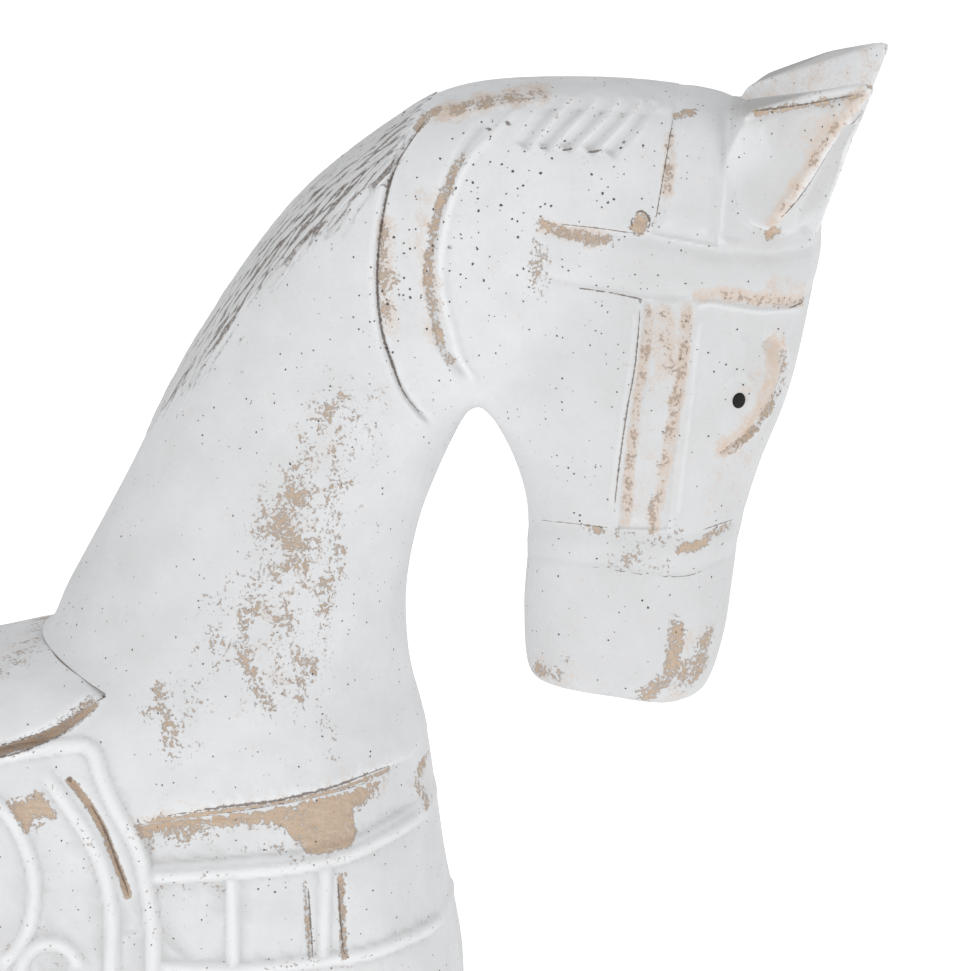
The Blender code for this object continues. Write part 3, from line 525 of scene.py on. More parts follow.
# Dark colour for dirt, also used as painted shade in creases, along the saddle groove and under the neck's
# edge
DIRT_AND_SHADE_COLOUR = "#766c65"
PORE = "#5c5854"
# Sizes in millimetres of the paint's flecks, of white residue in bare wood, of patches and clouds in the
# paint, of the wood's fibres across the grain, and of the cells that hold one pore each
FLECK_SIZE = 0.9
RESIDUE_SIZE = 0.6
PATCH_SIZE = 4.5
CLOUD_SIZE = 14.0
FIBRE_SIZE = 1.0
PORE_CELL = 1.4
# Bare wood: how much flecks break up the wear, least wear, limits of paint, of deep wood and of white residue
WEAR_FLECKS = 1.9
WEAR_GATE = (0.02, 0.25)
RUBBED = (1.90, 2.08)
RUBBED_DEEP = (1.98, 2.30)
RESIDUE_LEFT = (0.58, 0.70, 1.0, 0.55)
# Thin paint and haze: limits of the clouds, share and shift of the noise in the haze, share of its mark
THIN_PAINT = (0.35, 0.70)
VEIL_NOISE = (1.7, -2.10)
VEIL_SHARE = 1.15
# Pores: share of their mark, limits and sizes of those that show, ragged edge, limits of the edge
PORE_SHARE = 0.25
PORE_SIZES = (0.66, 1.25, 0.0, 0.28)
PORE_RAGGED = 0.5
PORE_EDGE = (0.25, 0.32)
# Dirt and painted shade in hollows, and dark lines: how much flecks break them up, limits and strengths
DIRT_AND_SHADE_FLECKS = 1.3
DIRT_AND_SHADE_LIMITS = (0.95, 1.60, 0.0, 0.9)
LINE_FLECKS = -3.0
LINE_LIMITS = (-0.95, -0.35, 0.85, 0.0)
# Heights in millimetres of bare wood, flecks and pores in the paint
BARE_HEIGHT = -0.14
FLECK_HEIGHT = 0.12
PORE_HEIGHT = -0.25
# Marks stored on each point. The ridge mark is a painted highlight, the hollow mark is painted shade, and the
# dirt mark holds dirt with painted shade
MARKS = ("bare", "haze", "dirt_and_shade", "line", "pores", "ridge", "hollow")


# Meshes

def linear(hex_colour):
    """An sRGB hex colour as linear red, green, blue and alpha."""
    channels = [int(hex_colour[k:k + 2], 16) / 255 for k in (1, 3, 5)]
    return [c / 12.92 if c <= 0.04045 else ((c + 0.055) / 1.055) ** 2.4 for c in channels] + [1.0]


def smooth_step(low, high, value):
    t = np.clip((value - low) / (high - low), 0.0, 1.0)
    return t * t * (3 - 2 * t)


def rows_through(rows, steps):
    """Catmull-Rom curve through the rows, with so many new rows from each to the next."""
    rows = np.array(rows, float)
    padded = np.vstack([rows[:1], rows, rows[-1:]])
    t = np.arange(steps)[:, None] / steps
    parts = []
    for a, b, c, d in zip(padded, padded[1:], padded[2:], padded[3:]):
        parts.append(b + 0.5 * t * (c - a + t * (2 * a - 5 * b + 4 * c - d + t * (3 * b - a - 3 * c + d))))
    return np.vstack(parts + [rows[-1:]])


def object_of(name, data):
    """A new object in the scene for a mesh, a lamp or a camera."""
    obj = bpy.data.objects.new(name, data)
    bpy.context.scene.collection.objects.link(obj)
    return obj


def object_from(name, bm):
    """A new object in the scene with the mesh that was built, which is then set free."""
    mesh = bpy.data.meshes.new(name)
    bm.to_mesh(mesh)
    bm.free()
    return object_of(name, mesh)


def solid(name, points, faces):
    """An object of a closed mesh, its faces turned outwards."""
    mesh = bpy.data.meshes.new(name)
    mesh.from_pydata(points, [], faces)
    bm = bmesh.new()
    bm.from_mesh(mesh)
    bmesh.ops.recalc_face_normals(bm, faces=bm.faces)
    bm.to_mesh(mesh)
    bm.free()
    return object_of(name, mesh)


def loft(name, rings):
    """Closed skin over rings of points, with flat ends."""
    rows, count = len(rings), len(rings[0])
    faces = [list(range(count)), list(range((rows - 1) * count, rows * count))]
    for r in range(rows - 1):
        for k in range(count):
            n = (k + 1) % count
            faces.append([r * count + k, r * count + n, (r + 1) * count + n, (r + 1) * count + k])
    return solid(name, np.vstack(rings), faces)


def oval(centre, along, half_width, squareness):
    """Ring of an oval section that stands across the horse."""
    turn = np.linspace(0, math.tau, HORSE_RING_POINTS, endpoint=False)
    u = np.sign(np.sin(turn)) * np.abs(np.sin(turn)) ** (2 / squareness)
    v = np.sign(np.cos(turn)) * np.abs(np.cos(turn)) ** (2 / squareness)
    across = np.array((0.0, half_width, 0.0))
    return (centre + u[:, None] * along + v[:, None] * across) * MM


def horse_skin(name):
    rings = []
    for tx, tz, ux, uz, half, squareness in rows_through(HORSE_STATIONS, HORSE_RINGS_PER_STATION):
        top, under = np.array((tx, 0.0, tz)), np.array((ux, 0.0, uz))
        rings.append(oval((top + under) / 2, (top - under) / 2, half, squareness))
    return loft(name, rings)


def saddle_skin(name):
    rings = []
    for x, z, half in rows_through(SADDLE_STATIONS, HORSE_RINGS_PER_STATION):
        rise = np.array((0.0, 0.0, z - SADDLE_CORE_Z))
        rings.append(oval(np.array((x, 0.0, SADDLE_CORE_Z)), rise, half, SADDLE_SQUARENESS))
    return loft(name, rings)


def cutter(name, outline, shift=(0.0, 0.0)):
    """A side view outline, in millimetres, run from side to side of the horse."""
    rings = []
    for y in (-CUTTER_REACH, CUTTER_REACH):
        rings.append(np.array([(x + shift[0], y, z + shift[1]) for x, z in outline]) * MM)
    return loft(name, rings)


def back_space():
    """Side view outline of the room above the hollow of the back."""
    curve = [tuple(row) for row in rows_through(BACK_CURVE, BACK_STEPS)]
    return curve + [(curve[-1][0], BACK_SPACE_TOP), (curve[0][0], BACK_SPACE_TOP)]


def ear(name, sign):
    """A faceted ear with rounded edges, scooped out in front."""
    hull = bmesh.new()
    for x, y, z in EAR_CORNERS:
        hull.verts.new((x * MM, sign * y * MM, z * MM))
    bmesh.ops.convex_hull(hull, input=hull.verts)
    bmesh.ops.recalc_face_normals(hull, faces=hull.faces)
    obj = object_from(name, hull)
    rounding = obj.modifiers.new("Rounding", "BEVEL")
    rounding.width = EAR_ROUNDING * MM
    rounding.segments = EAR_ROUNDING_STEPS
    x, y, z = EAR_SCOOP_CENTRE
    place = Matrix.Translation((x * MM, sign * y * MM, z * MM))
    ball = bmesh.new()
    bmesh.ops.create_icosphere(ball, subdivisions=4, radius=EAR_SCOOP_RADIUS * MM, matrix=place)
    return combine(obj, (object_from(name + "_scoop", ball), "DIFFERENCE"))


def combine(obj, *steps):
    """The object's mesh after these Boolean steps. What was combined is removed."""
    for other, operation in steps:
        modifier = obj.modifiers.new("Combine", "BOOLEAN")
        modifier.object = other
        modifier.operation = operation
        modifier.solver = "EXACT"
    apply_modifiers(obj)
    for other, operation in steps:
        bpy.data.objects.remove(other)
    return obj


def apply_modifiers(obj):
    bpy.context.view_layer.update()
    graph = bpy.context.evaluated_depsgraph_get()
    mesh = bpy.data.meshes.new_from_object(obj.evaluated_get(graph))
    obj.modifiers.clear()
    obj.data = mesh
    return obj


def remeshed(obj, voxel, smoothing):
    """Even small faces over the whole form, with its edges softened."""
    remesh = obj.modifiers.new("Remesh", "REMESH")
    remesh.mode = "VOXEL"
    remesh.voxel_size = voxel * MM
    smooth = obj.modifiers.new("Smooth", "SMOOTH")
    smooth.factor = SMOOTHING
    smooth.iterations = smoothing
    apply_modifiers(obj)
    obj.data.shade_smooth()
    return obj


def thinned(obj):
    """The same form with fewer faces where it is flat."""
    faces = sum(len(face.vertices) - 2 for face in obj.data.polygons)
    if faces > MOST_FACES:
        decimate = obj.modifiers.new("Thin", "DECIMATE")
        decimate.ratio = MOST_FACES / faces
        apply_modifiers(obj)
    return obj


def copy_of(node):
    """A new object with a merged copy of a CAD node's mesh."""
    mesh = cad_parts[node].data.copy()
    mesh.materials.clear()
    bm = bmesh.new()
    bm.from_mesh(mesh)
    bmesh.ops.remove_doubles(bm, verts=bm.verts, dist=MERGE_DISTANCE * MM)
    bm.to_mesh(mesh)
    bm.free()
    return object_of("carved_" + node, mesh)


def points_of(mesh):
    co = np.empty(len(mesh.vertices) * 3, np.float32)
    mesh.vertices.foreach_get("co", co)
    return co.reshape(-1, 3).astype(float)


def normals_of(mesh):
    normal = np.empty(len(mesh.vertices) * 3, np.float32)
    mesh.vertex_normals.foreach_get("vector", normal)
    return normal.reshape(-1, 3).astype(float)


def move_points(mesh, co):
    mesh.vertices.foreach_set("co", co.astype(np.float32).ravel())
    mesh.update()


def set_attribute(mesh, name, values):
    kind = "FLOAT" if values.ndim == 1 else "FLOAT_VECTOR"
    attribute = mesh.attributes.new(name, kind, "POINT")
    attribute.data.foreach_set("value" if values.ndim == 1 else "vector", values.astype(np.float32).ravel())


def edges_of(mesh):
    """The numbers of the points at the two ends of each edge, as two arrays."""
    edges = np.empty(len(mesh.edges) * 2, np.int32)
    mesh.edges.foreach_get("vertices", edges)
    return edges.reshape(-1, 2).T


def hollowness(mesh, passes):
    """How far each point lies below (-) or above (+) the mean of its neighbours, in millimetres."""
    a, b = edges_of(mesh)
    co = points_of(mesh)
    size = len(co)
    count = np.bincount(np.concatenate([a, b]), minlength=size)[:, None]
    mean = co.copy()
    for _ in range(passes):
        total = np.zeros_like(mean)
        for axis in range(3):
            total[:, axis] = np.bincount(a, mean[b, axis], size) + np.bincount(b, mean[a, axis], size)
        mean = total / np.maximum(count, 1)
    return ((co - mean) * normals_of(mesh)).sum(1) / MM


# Drawing on the horse

def drawing(co, normal, half_width):
    """Where each point falls on the drawing. On the front, a line goes round level."""
    front = smooth_step(*FRONT_TURN, normal[:, 0])
    y = -(np.abs(co[:, 1]) * (1 - front) + half_width * MM * front)
    ahead, up = co[:, 0] - CAMERA_TARGET.x, co[:, 2] - CAMERA_TARGET.z
    ca, sa = math.cos(CAMERA_AZIMUTH), math.sin(CAMERA_AZIMUTH)
    ce, se = math.cos(CAMERA_ELEVATION), math.sin(CAMERA_ELEVATION)
    right = ahead * ca + y * sa
    rise = up * ce - ahead * se * sa + y * se * ca
    return np.column_stack([DRAWING_CENTRE[0] + right / UNIT, DRAWING_CENTRE[1] - rise / UNIT])


def distance(spots, line, reach):
    """From each spot to a drawn line, as far as it matters: the distance in millimetres, the share along the
    line and the line's side, -1 or 1."""
    line = np.array(line, float)
    runs = line[1:] - line[:-1]
    lengths = np.hypot(*runs.T)
    begins = np.concatenate([[0.0], np.cumsum(lengths)])
    best = np.full(len(spots), FAR)
    along = np.zeros(len(spots))
    side = np.ones(len(spots))
    margin = reach * MM / UNIT
    near = np.all((spots > line.min(0) - margin) & (spots < line.max(0) + margin), axis=1)
    if not near.any():
        return best, along, side
    spots = spots[near]
    near_best, near_along, near_side = best[near], along[near], side[near]
    for start, run, length, begin in zip(line, runs, lengths, begins):
        rel = spots - start
        t = np.clip(rel @ run / length ** 2, 0.0, 1.0)
        gap = np.hypot(*(rel - t[:, None] * run).T) * UNIT / MM
        closer = gap < near_best
        near_best[closer] = gap[closer]
        near_along[closer] = (begin + t * length)[closer] / begins[-1]
        near_side[closer] = np.where(run[0] * rel[closer, 1] > run[1] * rel[closer, 0], 1.0, -1.0)
    best[near], along[near], side[near] = near_best, near_along, near_side
    return best, along, side


def inside(spots, outline):
    """Distance in millimetres to a closed drawn outline, negative inside it."""
    outline = [tuple(p) for p in outline]
    gap, _, _ = distance(spots, outline + outline[:1], OUTLINE_REACH)
    within = np.zeros(len(spots), bool)
    x, y = spots.T
    for (ax, ay), (bx, by) in zip(outline, outline[1:] + outline[:1]):
        crosses = (ay > y) != (by > y)
        within ^= crosses & (x < ax + (y - ay) * (bx - ax) / (by - ay + 1e-12))
    return np.where(within, -gap, gap)


def curved(line):
    return rows_through(line, CURVE_STEPS) if len(line) > 2 else np.array(line, float)


def tapered(along, ends=TAPER):
    return smooth_step(0.0, ends, along) * smooth_step(0.0, ends, 1 - along)


def carved_lines(spots, lines, power):
    """Rise of lines carved in relief, or depth of lines cut in. A low power is round, a high one pointed."""
    height = np.zeros(len(spots))
    for line, half, rise in lines:
        gap, along, _ = distance(spots, curved(line), half + 1)
        shape = np.clip(1 - (gap / half) ** 2, 0, 1) ** power
        height = np.maximum(height, rise * shape * tapered(along))
    return height


def worn(spots, strokes, patches=()):
    """How bare each spot is, from 0 to 1."""
    bare = np.zeros(len(spots))
    begin, end = STROKE_EDGE
    for line, half, strength in strokes:
        gap, _, _ = distance(spots, curved(line), half * 2 + 1)
        bare = np.maximum(bare, strength * (1 - smooth_step(begin * half, end * half, gap)))
    for outline in patches:
        bare = np.maximum(bare, 1 - smooth_step(-PATCH_EDGE, PATCH_EDGE, inside(spots, outline)))
    return bare


def line_field(spots, lines):
    """Distance to the nearest dark line as a share of its half width there, with the sign of the line's side,
    so that the line stays sharp between the mesh's points."""
    field = np.full(len(spots), FAR)
    for line, half in lines:
        gap, along, side = distance(spots, curved(line), LINE_REACH)
        share = side * gap / (half * (LINE_END + (1 - LINE_END) * tapered(along, LINE_TAPER)))
        near = (np.abs(share) < np.minimum(np.abs(field), LINE_SHARES)) & (along > 0) & (along < 1)
        field[near] = share[near]
    return field


def streaks(co, way, across, along):
    """Noise from -1 to 1 in streaks that run one way over the horse's side."""
    cross = np.array((-way[2], 0.0, way[0]))
    u = co @ cross / (across * MM)
    v = co @ np.array(way) / (along * MM)
    w = co[:, 1] / (across * MM)
    return np.array([noise.noise(point) for point in np.column_stack([u, v, w])])


def clouds(co, size):
    """Noise from about -1 to 1 in uneven clouds of a size in millimetres."""
    return np.array([noise.fractal(point, *CLOUD_NOISE) for point in co / (size * MM)])


def other_side(spots, co):
    """The left side's wear isn't the right one's, so its spots are shifted to and fro."""
    moved = spots.copy()
    left = co[:, 1] > 0
    for axis, (height, length, shift) in enumerate((SHIFT_AHEAD, SHIFT_UP)):
        moved[left, axis] += height * np.sin(spots[left, 1 - axis] / length) + shift
    return moved


def side_share(normal):
    """How much each point faces to a side of the horse, from 0 to 1."""
    return smooth_step(*SIDE_TURN, np.abs(normal[:, 1]))


# Materials

def feed(tree, node, inputs):
    """Gives a node its inputs. Each is a constant or another node's output."""
    for name, value in inputs.items():
        if isinstance(value, bpy.types.NodeSocket):
            tree.links.new(value, node.inputs[name])
        else:
            node.inputs[name].default_value = value


def add(tree, kind, inputs=None, **settings):
    """Adds a node with its settings and its inputs."""
    made = tree.nodes.new(kind)
    for name, value in settings.items():
        setattr(made, name, value)
    feed(tree, made, inputs or {})
    return made


def new_material(name):
    material = bpy.data.materials.new(name)
    material.use_nodes = True
    return material, material.node_tree, material.node_tree.nodes["Principled BSDF"]


def maths(tree, operation, *values, **settings):
    return add(tree, "ShaderNodeMath", dict(enumerate(values)), operation=operation, **settings).outputs[0]


def ranged(tree, value, low, high, start=0.0, end=1.0, kind="LINEAR"):
    """The value from low to high, carried over to start and end and held between them."""
    limits = {"From Min": low, "From Max": high, "To Min": start, "To Max": end}
    return add(tree, "ShaderNodeMapRange", {"Value": value, **limits}, interpolation_type=kind).outputs[0]


def mixed(tree, amount, first, second):
    return add(tree, "ShaderNodeMix", {0: amount, 6: first, 7: second}, data_type="RGBA").outputs[2]


def object_place(tree):
    return add(tree, "ShaderNodeTexCoord").outputs["Object"]


def speckle(tree, place, size, detail=2.0, roughness=0.5, distortion=0.0):
    """Noise from 0 to 1 with spots of about this size in millimetres."""
    return add(tree, "ShaderNodeTexNoise", {
        "Vector": place, "Scale": 1 / (size * MM), "Detail": detail, "Roughness": roughness,
        "Distortion": distortion}).outputs["Fac"]


def fibres_of(tree, place, size, grain):
    """Noise drawn out along the grain: the grain's scales are small along it and 1 across it."""
    along = add(tree, "ShaderNodeMapping", {"Vector": place, "Scale": grain}).outputs[0]
    return speckle(tree, along, size, detail=3.0)


def limewashed_wood(name, grain):
    """Chalky white paint brushed on pale albizia wood and rubbed back: matt, with ragged bare places whose
    thin edges are greyish, a soft haze of wood around them, and the wood's open pores as dark specks.
    Painted shade greys the paint in hollows, and a painted highlight whitens it on ridges."""
    material, tree, shader = new_material(name)
    place = object_place(tree)
    bare, haze, dirt_and_shade, line, pores, ridge, hollow = [
        add(tree, "ShaderNodeAttribute", attribute_name=mark).outputs["Fac"] for mark in MARKS]
    flecks = speckle(tree, place, FLECK_SIZE, detail=3.0, roughness=0.6, distortion=0.4)
    residue = speckle(tree, place, RESIDUE_SIZE)
    patches = speckle(tree, place, PATCH_SIZE)
    cloud = speckle(tree, place, CLOUD_SIZE, detail=5.0, roughness=0.65)
    fibres = fibres_of(tree, place, FIBRE_SIZE, grain)

    # Bare wood: where the wear and the noise together pass a limit, with paint left in its hollows
    field = maths(tree, "MULTIPLY_ADD", flecks, WEAR_FLECKS, bare)
    field = maths(tree, "ADD", patches, field)
    rubbed = ranged(tree, field, *RUBBED, kind="SMOOTHSTEP")
    rubbed = maths(tree, "MULTIPLY", rubbed, ranged(tree, bare, *WEAR_GATE))
    rubbed = maths(tree, "MULTIPLY", rubbed, ranged(tree, residue, *RESIDUE_LEFT))
    deep = ranged(tree, field, *RUBBED_DEEP)

    # Haze: wood that shows through thin paint
    thin = ranged(tree, cloud, *THIN_PAINT)
    veil = maths(tree, "ADD", patches, flecks)
    veil = maths(tree, "MULTIPLY_ADD", veil, *VEIL_NOISE)
    veil = maths(tree, "MULTIPLY_ADD", haze, VEIL_SHARE, veil, use_clamp=True)

    # Open pores: ragged specks in some of the cells, more where they crowd
    cells = add(tree, "ShaderNodeTexVoronoi", {"Vector": place, "Scale": 1 / (PORE_CELL * MM)})
    pick = add(tree, "ShaderNodeSeparateColor", {0: cells.outputs["Color"]}).outputs[0]
    pick = maths(tree, "MULTIPLY_ADD", pores, PORE_SHARE, pick)
    size = ranged(tree, pick, *PORE_SIZES)
    size = maths(tree, "MULTIPLY_ADD", residue, PORE_RAGGED, size)
    pore = maths(tree, "SUBTRACT", size, cells.outputs["Distance"])
    pore = ranged(tree, pore, *PORE_EDGE)

    # Dirt and painted shade: soft in hollows, and in thin ragged lines along the cuts
    dirt_and_shade_mask = maths(tree, "MULTIPLY_ADD", flecks, DIRT_AND_SHADE_FLECKS, dirt_and_shade)
    dirt_and_shade_mask = ranged(tree, dirt_and_shade_mask, *DIRT_AND_SHADE_LIMITS, kind="SMOOTHSTEP")
    width = maths(tree, "ABSOLUTE", line)
    width = maths(tree, "MULTIPLY_ADD", flecks, LINE_FLECKS, width)
    cut = ranged(tree, width, *LINE_LIMITS, kind="SMOOTHSTEP")

    wood = mixed(tree, fibres, linear(WOOD_PALE), linear(WOOD_DARK))
    chips = mixed(tree, deep, linear(FLECK), wood)
    colour = mixed(tree, thin, linear(PAINT), linear(PAINT_THIN))
    layers = [
        # Painted shade in hollows, then a painted highlight on ridges
        (hollow, linear(PAINTED_SHADE_COLOUR)),
        (ridge, linear(PAINTED_HIGHLIGHT_COLOUR)),
        (veil, linear(WOOD_VEILED)),
        (rubbed, chips),
        # Dirt with painted shade, then the dark lines
        (dirt_and_shade_mask, linear(DIRT_AND_SHADE_COLOUR)),
        (cut, linear(DIRT_AND_SHADE_COLOUR)),
        (pore, linear(PORE)),
    ]
    for amount, over in layers:
        colour = mixed(tree, amount, colour, over)

    height = maths(tree, "MULTIPLY", rubbed, BARE_HEIGHT)
    height = maths(tree, "MULTIPLY_ADD", flecks, FLECK_HEIGHT, height)
    height = maths(tree, "MULTIPLY_ADD", pore, PORE_HEIGHT, height)
    bump = add(tree, "ShaderNodeBump", {"Strength": 0.8, "Distance": MM, "Height": height}).outputs[0]
    feed(tree, shader, {
        "Base Color": colour, "Roughness": 0.78, "Specular IOR Level": 0.25, "Normal": bump})
    return material


def bare_wood():
    """Planed dowel wood with no finish: pale, matt, with fine streaks along its length."""
    material, tree, shader = new_material("planed_albizia")
    fibres = fibres_of(tree, object_place(tree), 0.8, (1.0, 1.0, 0.1))
    colour = mixed(tree, fibres, linear(WOOD_PALE), linear(WOOD_DARK))
    feed(tree, shader, {"Base Color": colour, "Roughness": 0.8})
    return material


def eye_black():
    """Black paint on a small peg, dabbed on by hand: nearly flat, a little uneven and with little gloss."""
    material, tree, shader = new_material("black_enamel")
    uneven = speckle(tree, object_place(tree), 1.0)
    colour = mixed(tree, uneven, linear("#060606"), linear("#12110f"))
    feed(tree, shader, {"Base Color": colour, "Roughness": 0.55, "Specular IOR Level": 0.3})
    return material


def screw_steel():
    """Zinc plated steel gone dull: grey metal, blotched where it has been handled."""
    material, tree, shader = new_material("dull_zinc_steel")
    blotch = speckle(tree, object_place(tree), 1.5, detail=4.0)
    colour = mixed(tree, blotch, linear("#b4b2ae"), linear("#8d8a84"))
    rough = ranged(tree, blotch, 0.0, 1.0, 0.3, 0.55)
    feed(tree, shader, {"Base Color": colour, "Roughness": rough, "Metallic": 1.0})
    return material


# Pieces

def side_spot(x, z, half_width):
    """Where a side view point, in millimetres, falls on the drawing."""
    co = np.array([(x, -half_width, z)]) * MM
    return tuple(drawing(co, np.zeros((1, 3)), half_width)[0])


def weather(mesh, **marks):
    """Stores the wear: what is given, rubbed edges, and dirt with painted shade in the hollows. It also
    stores painted shade as greyer paint in hollows, and a painted highlight as whiter paint on ridges.
    """
    hollow = hollowness(mesh, EDGE_PASSES)
    edge, crease = smooth_step(*EDGE_RISE, hollow), smooth_step(*EDGE_RISE, -hollow)
    nothing = np.zeros(len(hollow))
    bare = np.maximum(marks.get("bare", nothing), np.maximum(EDGE_WEAR * edge, CREASE_WEAR * crease))
    set_attribute(mesh, "bare", bare)
    # Dirt, with painted shade in creases
    set_attribute(mesh, "dirt_and_shade", np.maximum(marks.get("dirt_and_shade", nothing), CREASE_DIRT_AND_SHADE * crease))
    set_attribute(mesh, "haze", marks.get("haze", nothing))
    # Painted highlight: whiter paint on convex ridges
    set_attribute(mesh, "ridge", RIDGE_PAINTED_HIGHLIGHT * smooth_step(*RELIEF, hollow))
    # Painted shade: greyer paint in hollows, added to the painted shade that is given
    painted_shade = np.maximum(marks.get("hollow", nothing), HOLLOW_PAINTED_SHADE * smooth_step(*RELIEF, -hollow))
    set_attribute(mesh, "hollow", painted_shade)
    set_attribute(mesh, "pores", marks.get("pores", nothing + PLAIN_PORES))
    set_attribute(mesh, "line", marks.get("line", nothing + FAR))


def place_piece(obj, material, slot, *nodes):
    obj.data.materials.clear()
    obj.data.materials.append(material)
    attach(obj, "root")
    if nodes:
        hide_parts(*nodes)
    return obj


def carve_straps(spots):
    """Rise of the bridle straps: crowned, with their edges cut in."""
    rise = np.full(len(spots), -FAR)
    within = np.zeros(len(spots), bool)
    for outline, depth, fade in BRIDLE_STRAPS:
        gap = inside(spots, outline)
        here = smooth_step(*fade, spots[:, 0]) if fade else 1.0
        channel = 1 - smooth_step(*STRAP_CHANNEL, -gap)
        crown = STRAP_CROWN * smooth_step(*STRAP_CROWN_REACH, -gap)
        strap = here * (crown - depth * channel)
        rise = np.where(gap < 0, np.maximum(rise, strap * smooth_step(0.0, STRAP_WALL, -gap)), rise)
        within |= gap < 0
    return np.where(within, rise, 0.0)


def carve_scoop(spots):
    """Depth of the scoop beside the eye: steep at its outer edge, running out at its inner one."""
    gap, _, _ = distance(spots, curved(SCOOP_OUTER), SCOOP_REACH)
    within = inside(spots, list(curved(SCOOP_OUTER)) + list(curved(SCOOP_INNER))) < 0
    slope = np.clip(1 - gap / SCOOP_WIDTH, 0, 1) * smooth_step(0.0, SCOOP_WALL, gap)
    return np.where(within, SCOOP_DEPTH * slope, 0.0)


def mane_share(co, spots):
    """Where the mane is, from 0 to 1, with a border that ends in streaks."""
    across, along, reach = MANE_STREAK
    gap = inside(spots, MANE_OUTLINE)
    near = gap < 2 * reach
    ragged = np.full(len(co), FAR)
    ragged[near] = gap[near] + reach * streaks(co[near], MANE_FLOW, across, along)
    return 1 - smooth_step(*MANE_BORDER, ragged)


def cut_block(obj, paint, node, *cuts):
    """Cuts a carved block to its seams and puts it in place of its CAD node."""
    combine(obj, *cuts)
    obj.data.set_sharp_from_angle(angle=SHARP_EDGE)
    return place_piece(obj, paint, "limewashed_wood", node)


def make_head(paint):
    """Head and neck: carving first, then its wear, then the cut at the neck's foot."""
    head = horse_skin("carved_head_and_neck")
    ears = [(ear("ear_" + side, sign), "UNION") for side, sign in SIDES.items()]
    combine(head, (cutter("neck_space", NECK_SPACE, (-SEAM_SPARE, -SEAM_SPARE)), "INTERSECT"), *ears)
    remeshed(head, *HEAD_MESH)
    mesh = head.data
    co, normal = points_of(mesh), normals_of(mesh)
    spots = drawing(co, normal, HEAD_HALF_WIDTH)
    outward = smooth_step(*OUTWARD_TURN, normal[:, 1] * np.sign(co[:, 1]))
    middle = 1 - smooth_step(*CLEAN_FRONT, np.abs(co[:, 1]) / MM)
    side = outward * (1 - middle)
    rise = carve_straps(spots) * (STRAP_AHEAD + (1 - STRAP_AHEAD) * side)
    rise += side * carved_lines(spots, HEAD_BEADS, BEAD_POWER)
    rise -= side * carved_lines(spots, HEAD_GROOVES, GROOVE_POWER)
    rise -= side * carve_scoop(spots)
    chest = spots[:, 1] > NECK_FOOT
    chest_rise, chest_marks = body_marks(co, normal)
    rise += np.where(chest, chest_rise, 0.0)
    move_points(mesh, co + normal * rise[:, None] * MM)

    side = outward * (1 - middle * smooth_step(*HEAD_FRONT_TURN, normal[:, 0]))
    mane = mane_share(co, spots)
    marks = head_marks(co, spots, side, outward, mane)
    for name in ("bare", "haze", "dirt_and_shade"):
        marks[name] = np.where(chest, np.maximum(marks[name], chest_marks[name]), marks[name])
    nearer = np.abs(chest_marks["line"]) < np.abs(marks["line"])
    marks["line"] = np.where(chest & nearer, chest_marks["line"], marks["line"])
    weather(mesh, **marks)
    set_attribute(mesh, "hair", mane)
    set_attribute(mesh, "flow", np.tile(np.array(MANE_FLOW), (len(co), 1)))
    thinned(head)
    return cut_block(head, paint, "head_and_neck", (cutter("neck_space", NECK_SPACE), "INTERSECT"))


def head_marks(co, spots, side, outward, mane):
    """Wear of the head and neck. Side, outward and mane say how much of it each point takes."""
    shifted = other_side(spots, co)
    tip = np.array(EAR_CORNERS[0]) * MM
    from_tip = np.linalg.norm(np.abs(co) - tip, axis=1) / MM
    bare = side * np.maximum(worn(spots, HEAD_BARE), worn(shifted, HEAD_RUBBED))
    specks = worn(spots, [([(x - 1, y), (x + 1, y + 1)], SPECK_RADIUS, 1.0) for x, y in HEAD_SPECKS])
    return {
        "bare": np.maximum(bare, EAR_TIP_WEAR * (1 - smooth_step(*EAR_TIP, from_tip))),
        "haze": np.maximum(side * worn(spots, HEAD_HAZE), EAR_INSIDE_HAZE * (1 - outward)),
        # Darker ground under the mane's ridges, and the dark open pores
        "dirt_and_shade": np.maximum(MANE_DARK_GROUND * mane, specks),
        "line": np.where(side > 0.5, line_field(spots, HEAD_LINES), FAR),
        # Painted shade: greyer paint over the mane and along the head's strokes of painted shade
        "hollow": np.maximum(MANE_PAINTED_SHADE * mane, outward * worn(spots, HEAD_PAINTED_SHADE)),
        "pores": np.maximum(worn(shifted, HEAD_PORES), PLAIN_PORES),
    }


def cloth_lines():
    """Carved edges of the saddle cloth: drawn in front, and an oval below."""
    lines = []
    for drawn, half, height, oval_size in CLOTH_BEADS:
        points = list(drawn)
        if oval_size:
            for turn in np.radians(np.linspace(*CLOTH_OVAL_PART)):
                x = CLOTH_CENTRE[0] + oval_size[0] * abs(np.cos(turn)) ** CLOTH_OVAL_POWER
                z = CLOTH_CENTRE[1] - oval_size[1] * abs(np.sin(turn)) ** CLOTH_OVAL_POWER
                points.append(side_spot(x, z, BODY_HALF_WIDTH))
        lines.append((points, half, height))
    turn = np.linspace(0, math.tau, SCROLL_POINTS)
    ring = np.column_stack([np.cos(turn), np.sin(turn)]) * SCROLL_RADIUS + SCROLL_CENTRE
    lines.append((ring, *SCROLL_BEAD))
    return lines


def saddle_edge():
    """Groove under the saddle's edge, from its curved front end to the rear."""
    begin, length, lift = SADDLE_GROOVE_LIFT
    curve = rows_through(BACK_CURVE, SADDLE_GROOVE_STEPS)
    rows = [(x, z) for x, z in curve if x < SADDLE_GROOVE_END]
    rows = [(x, z - SADDLE_GROOVE_DROP + lift * max(0.0, (x - begin) / length) ** 2) for x, z in rows]
    return np.array([side_spot(x, z, BODY_HALF_WIDTH) for x, z in rows])


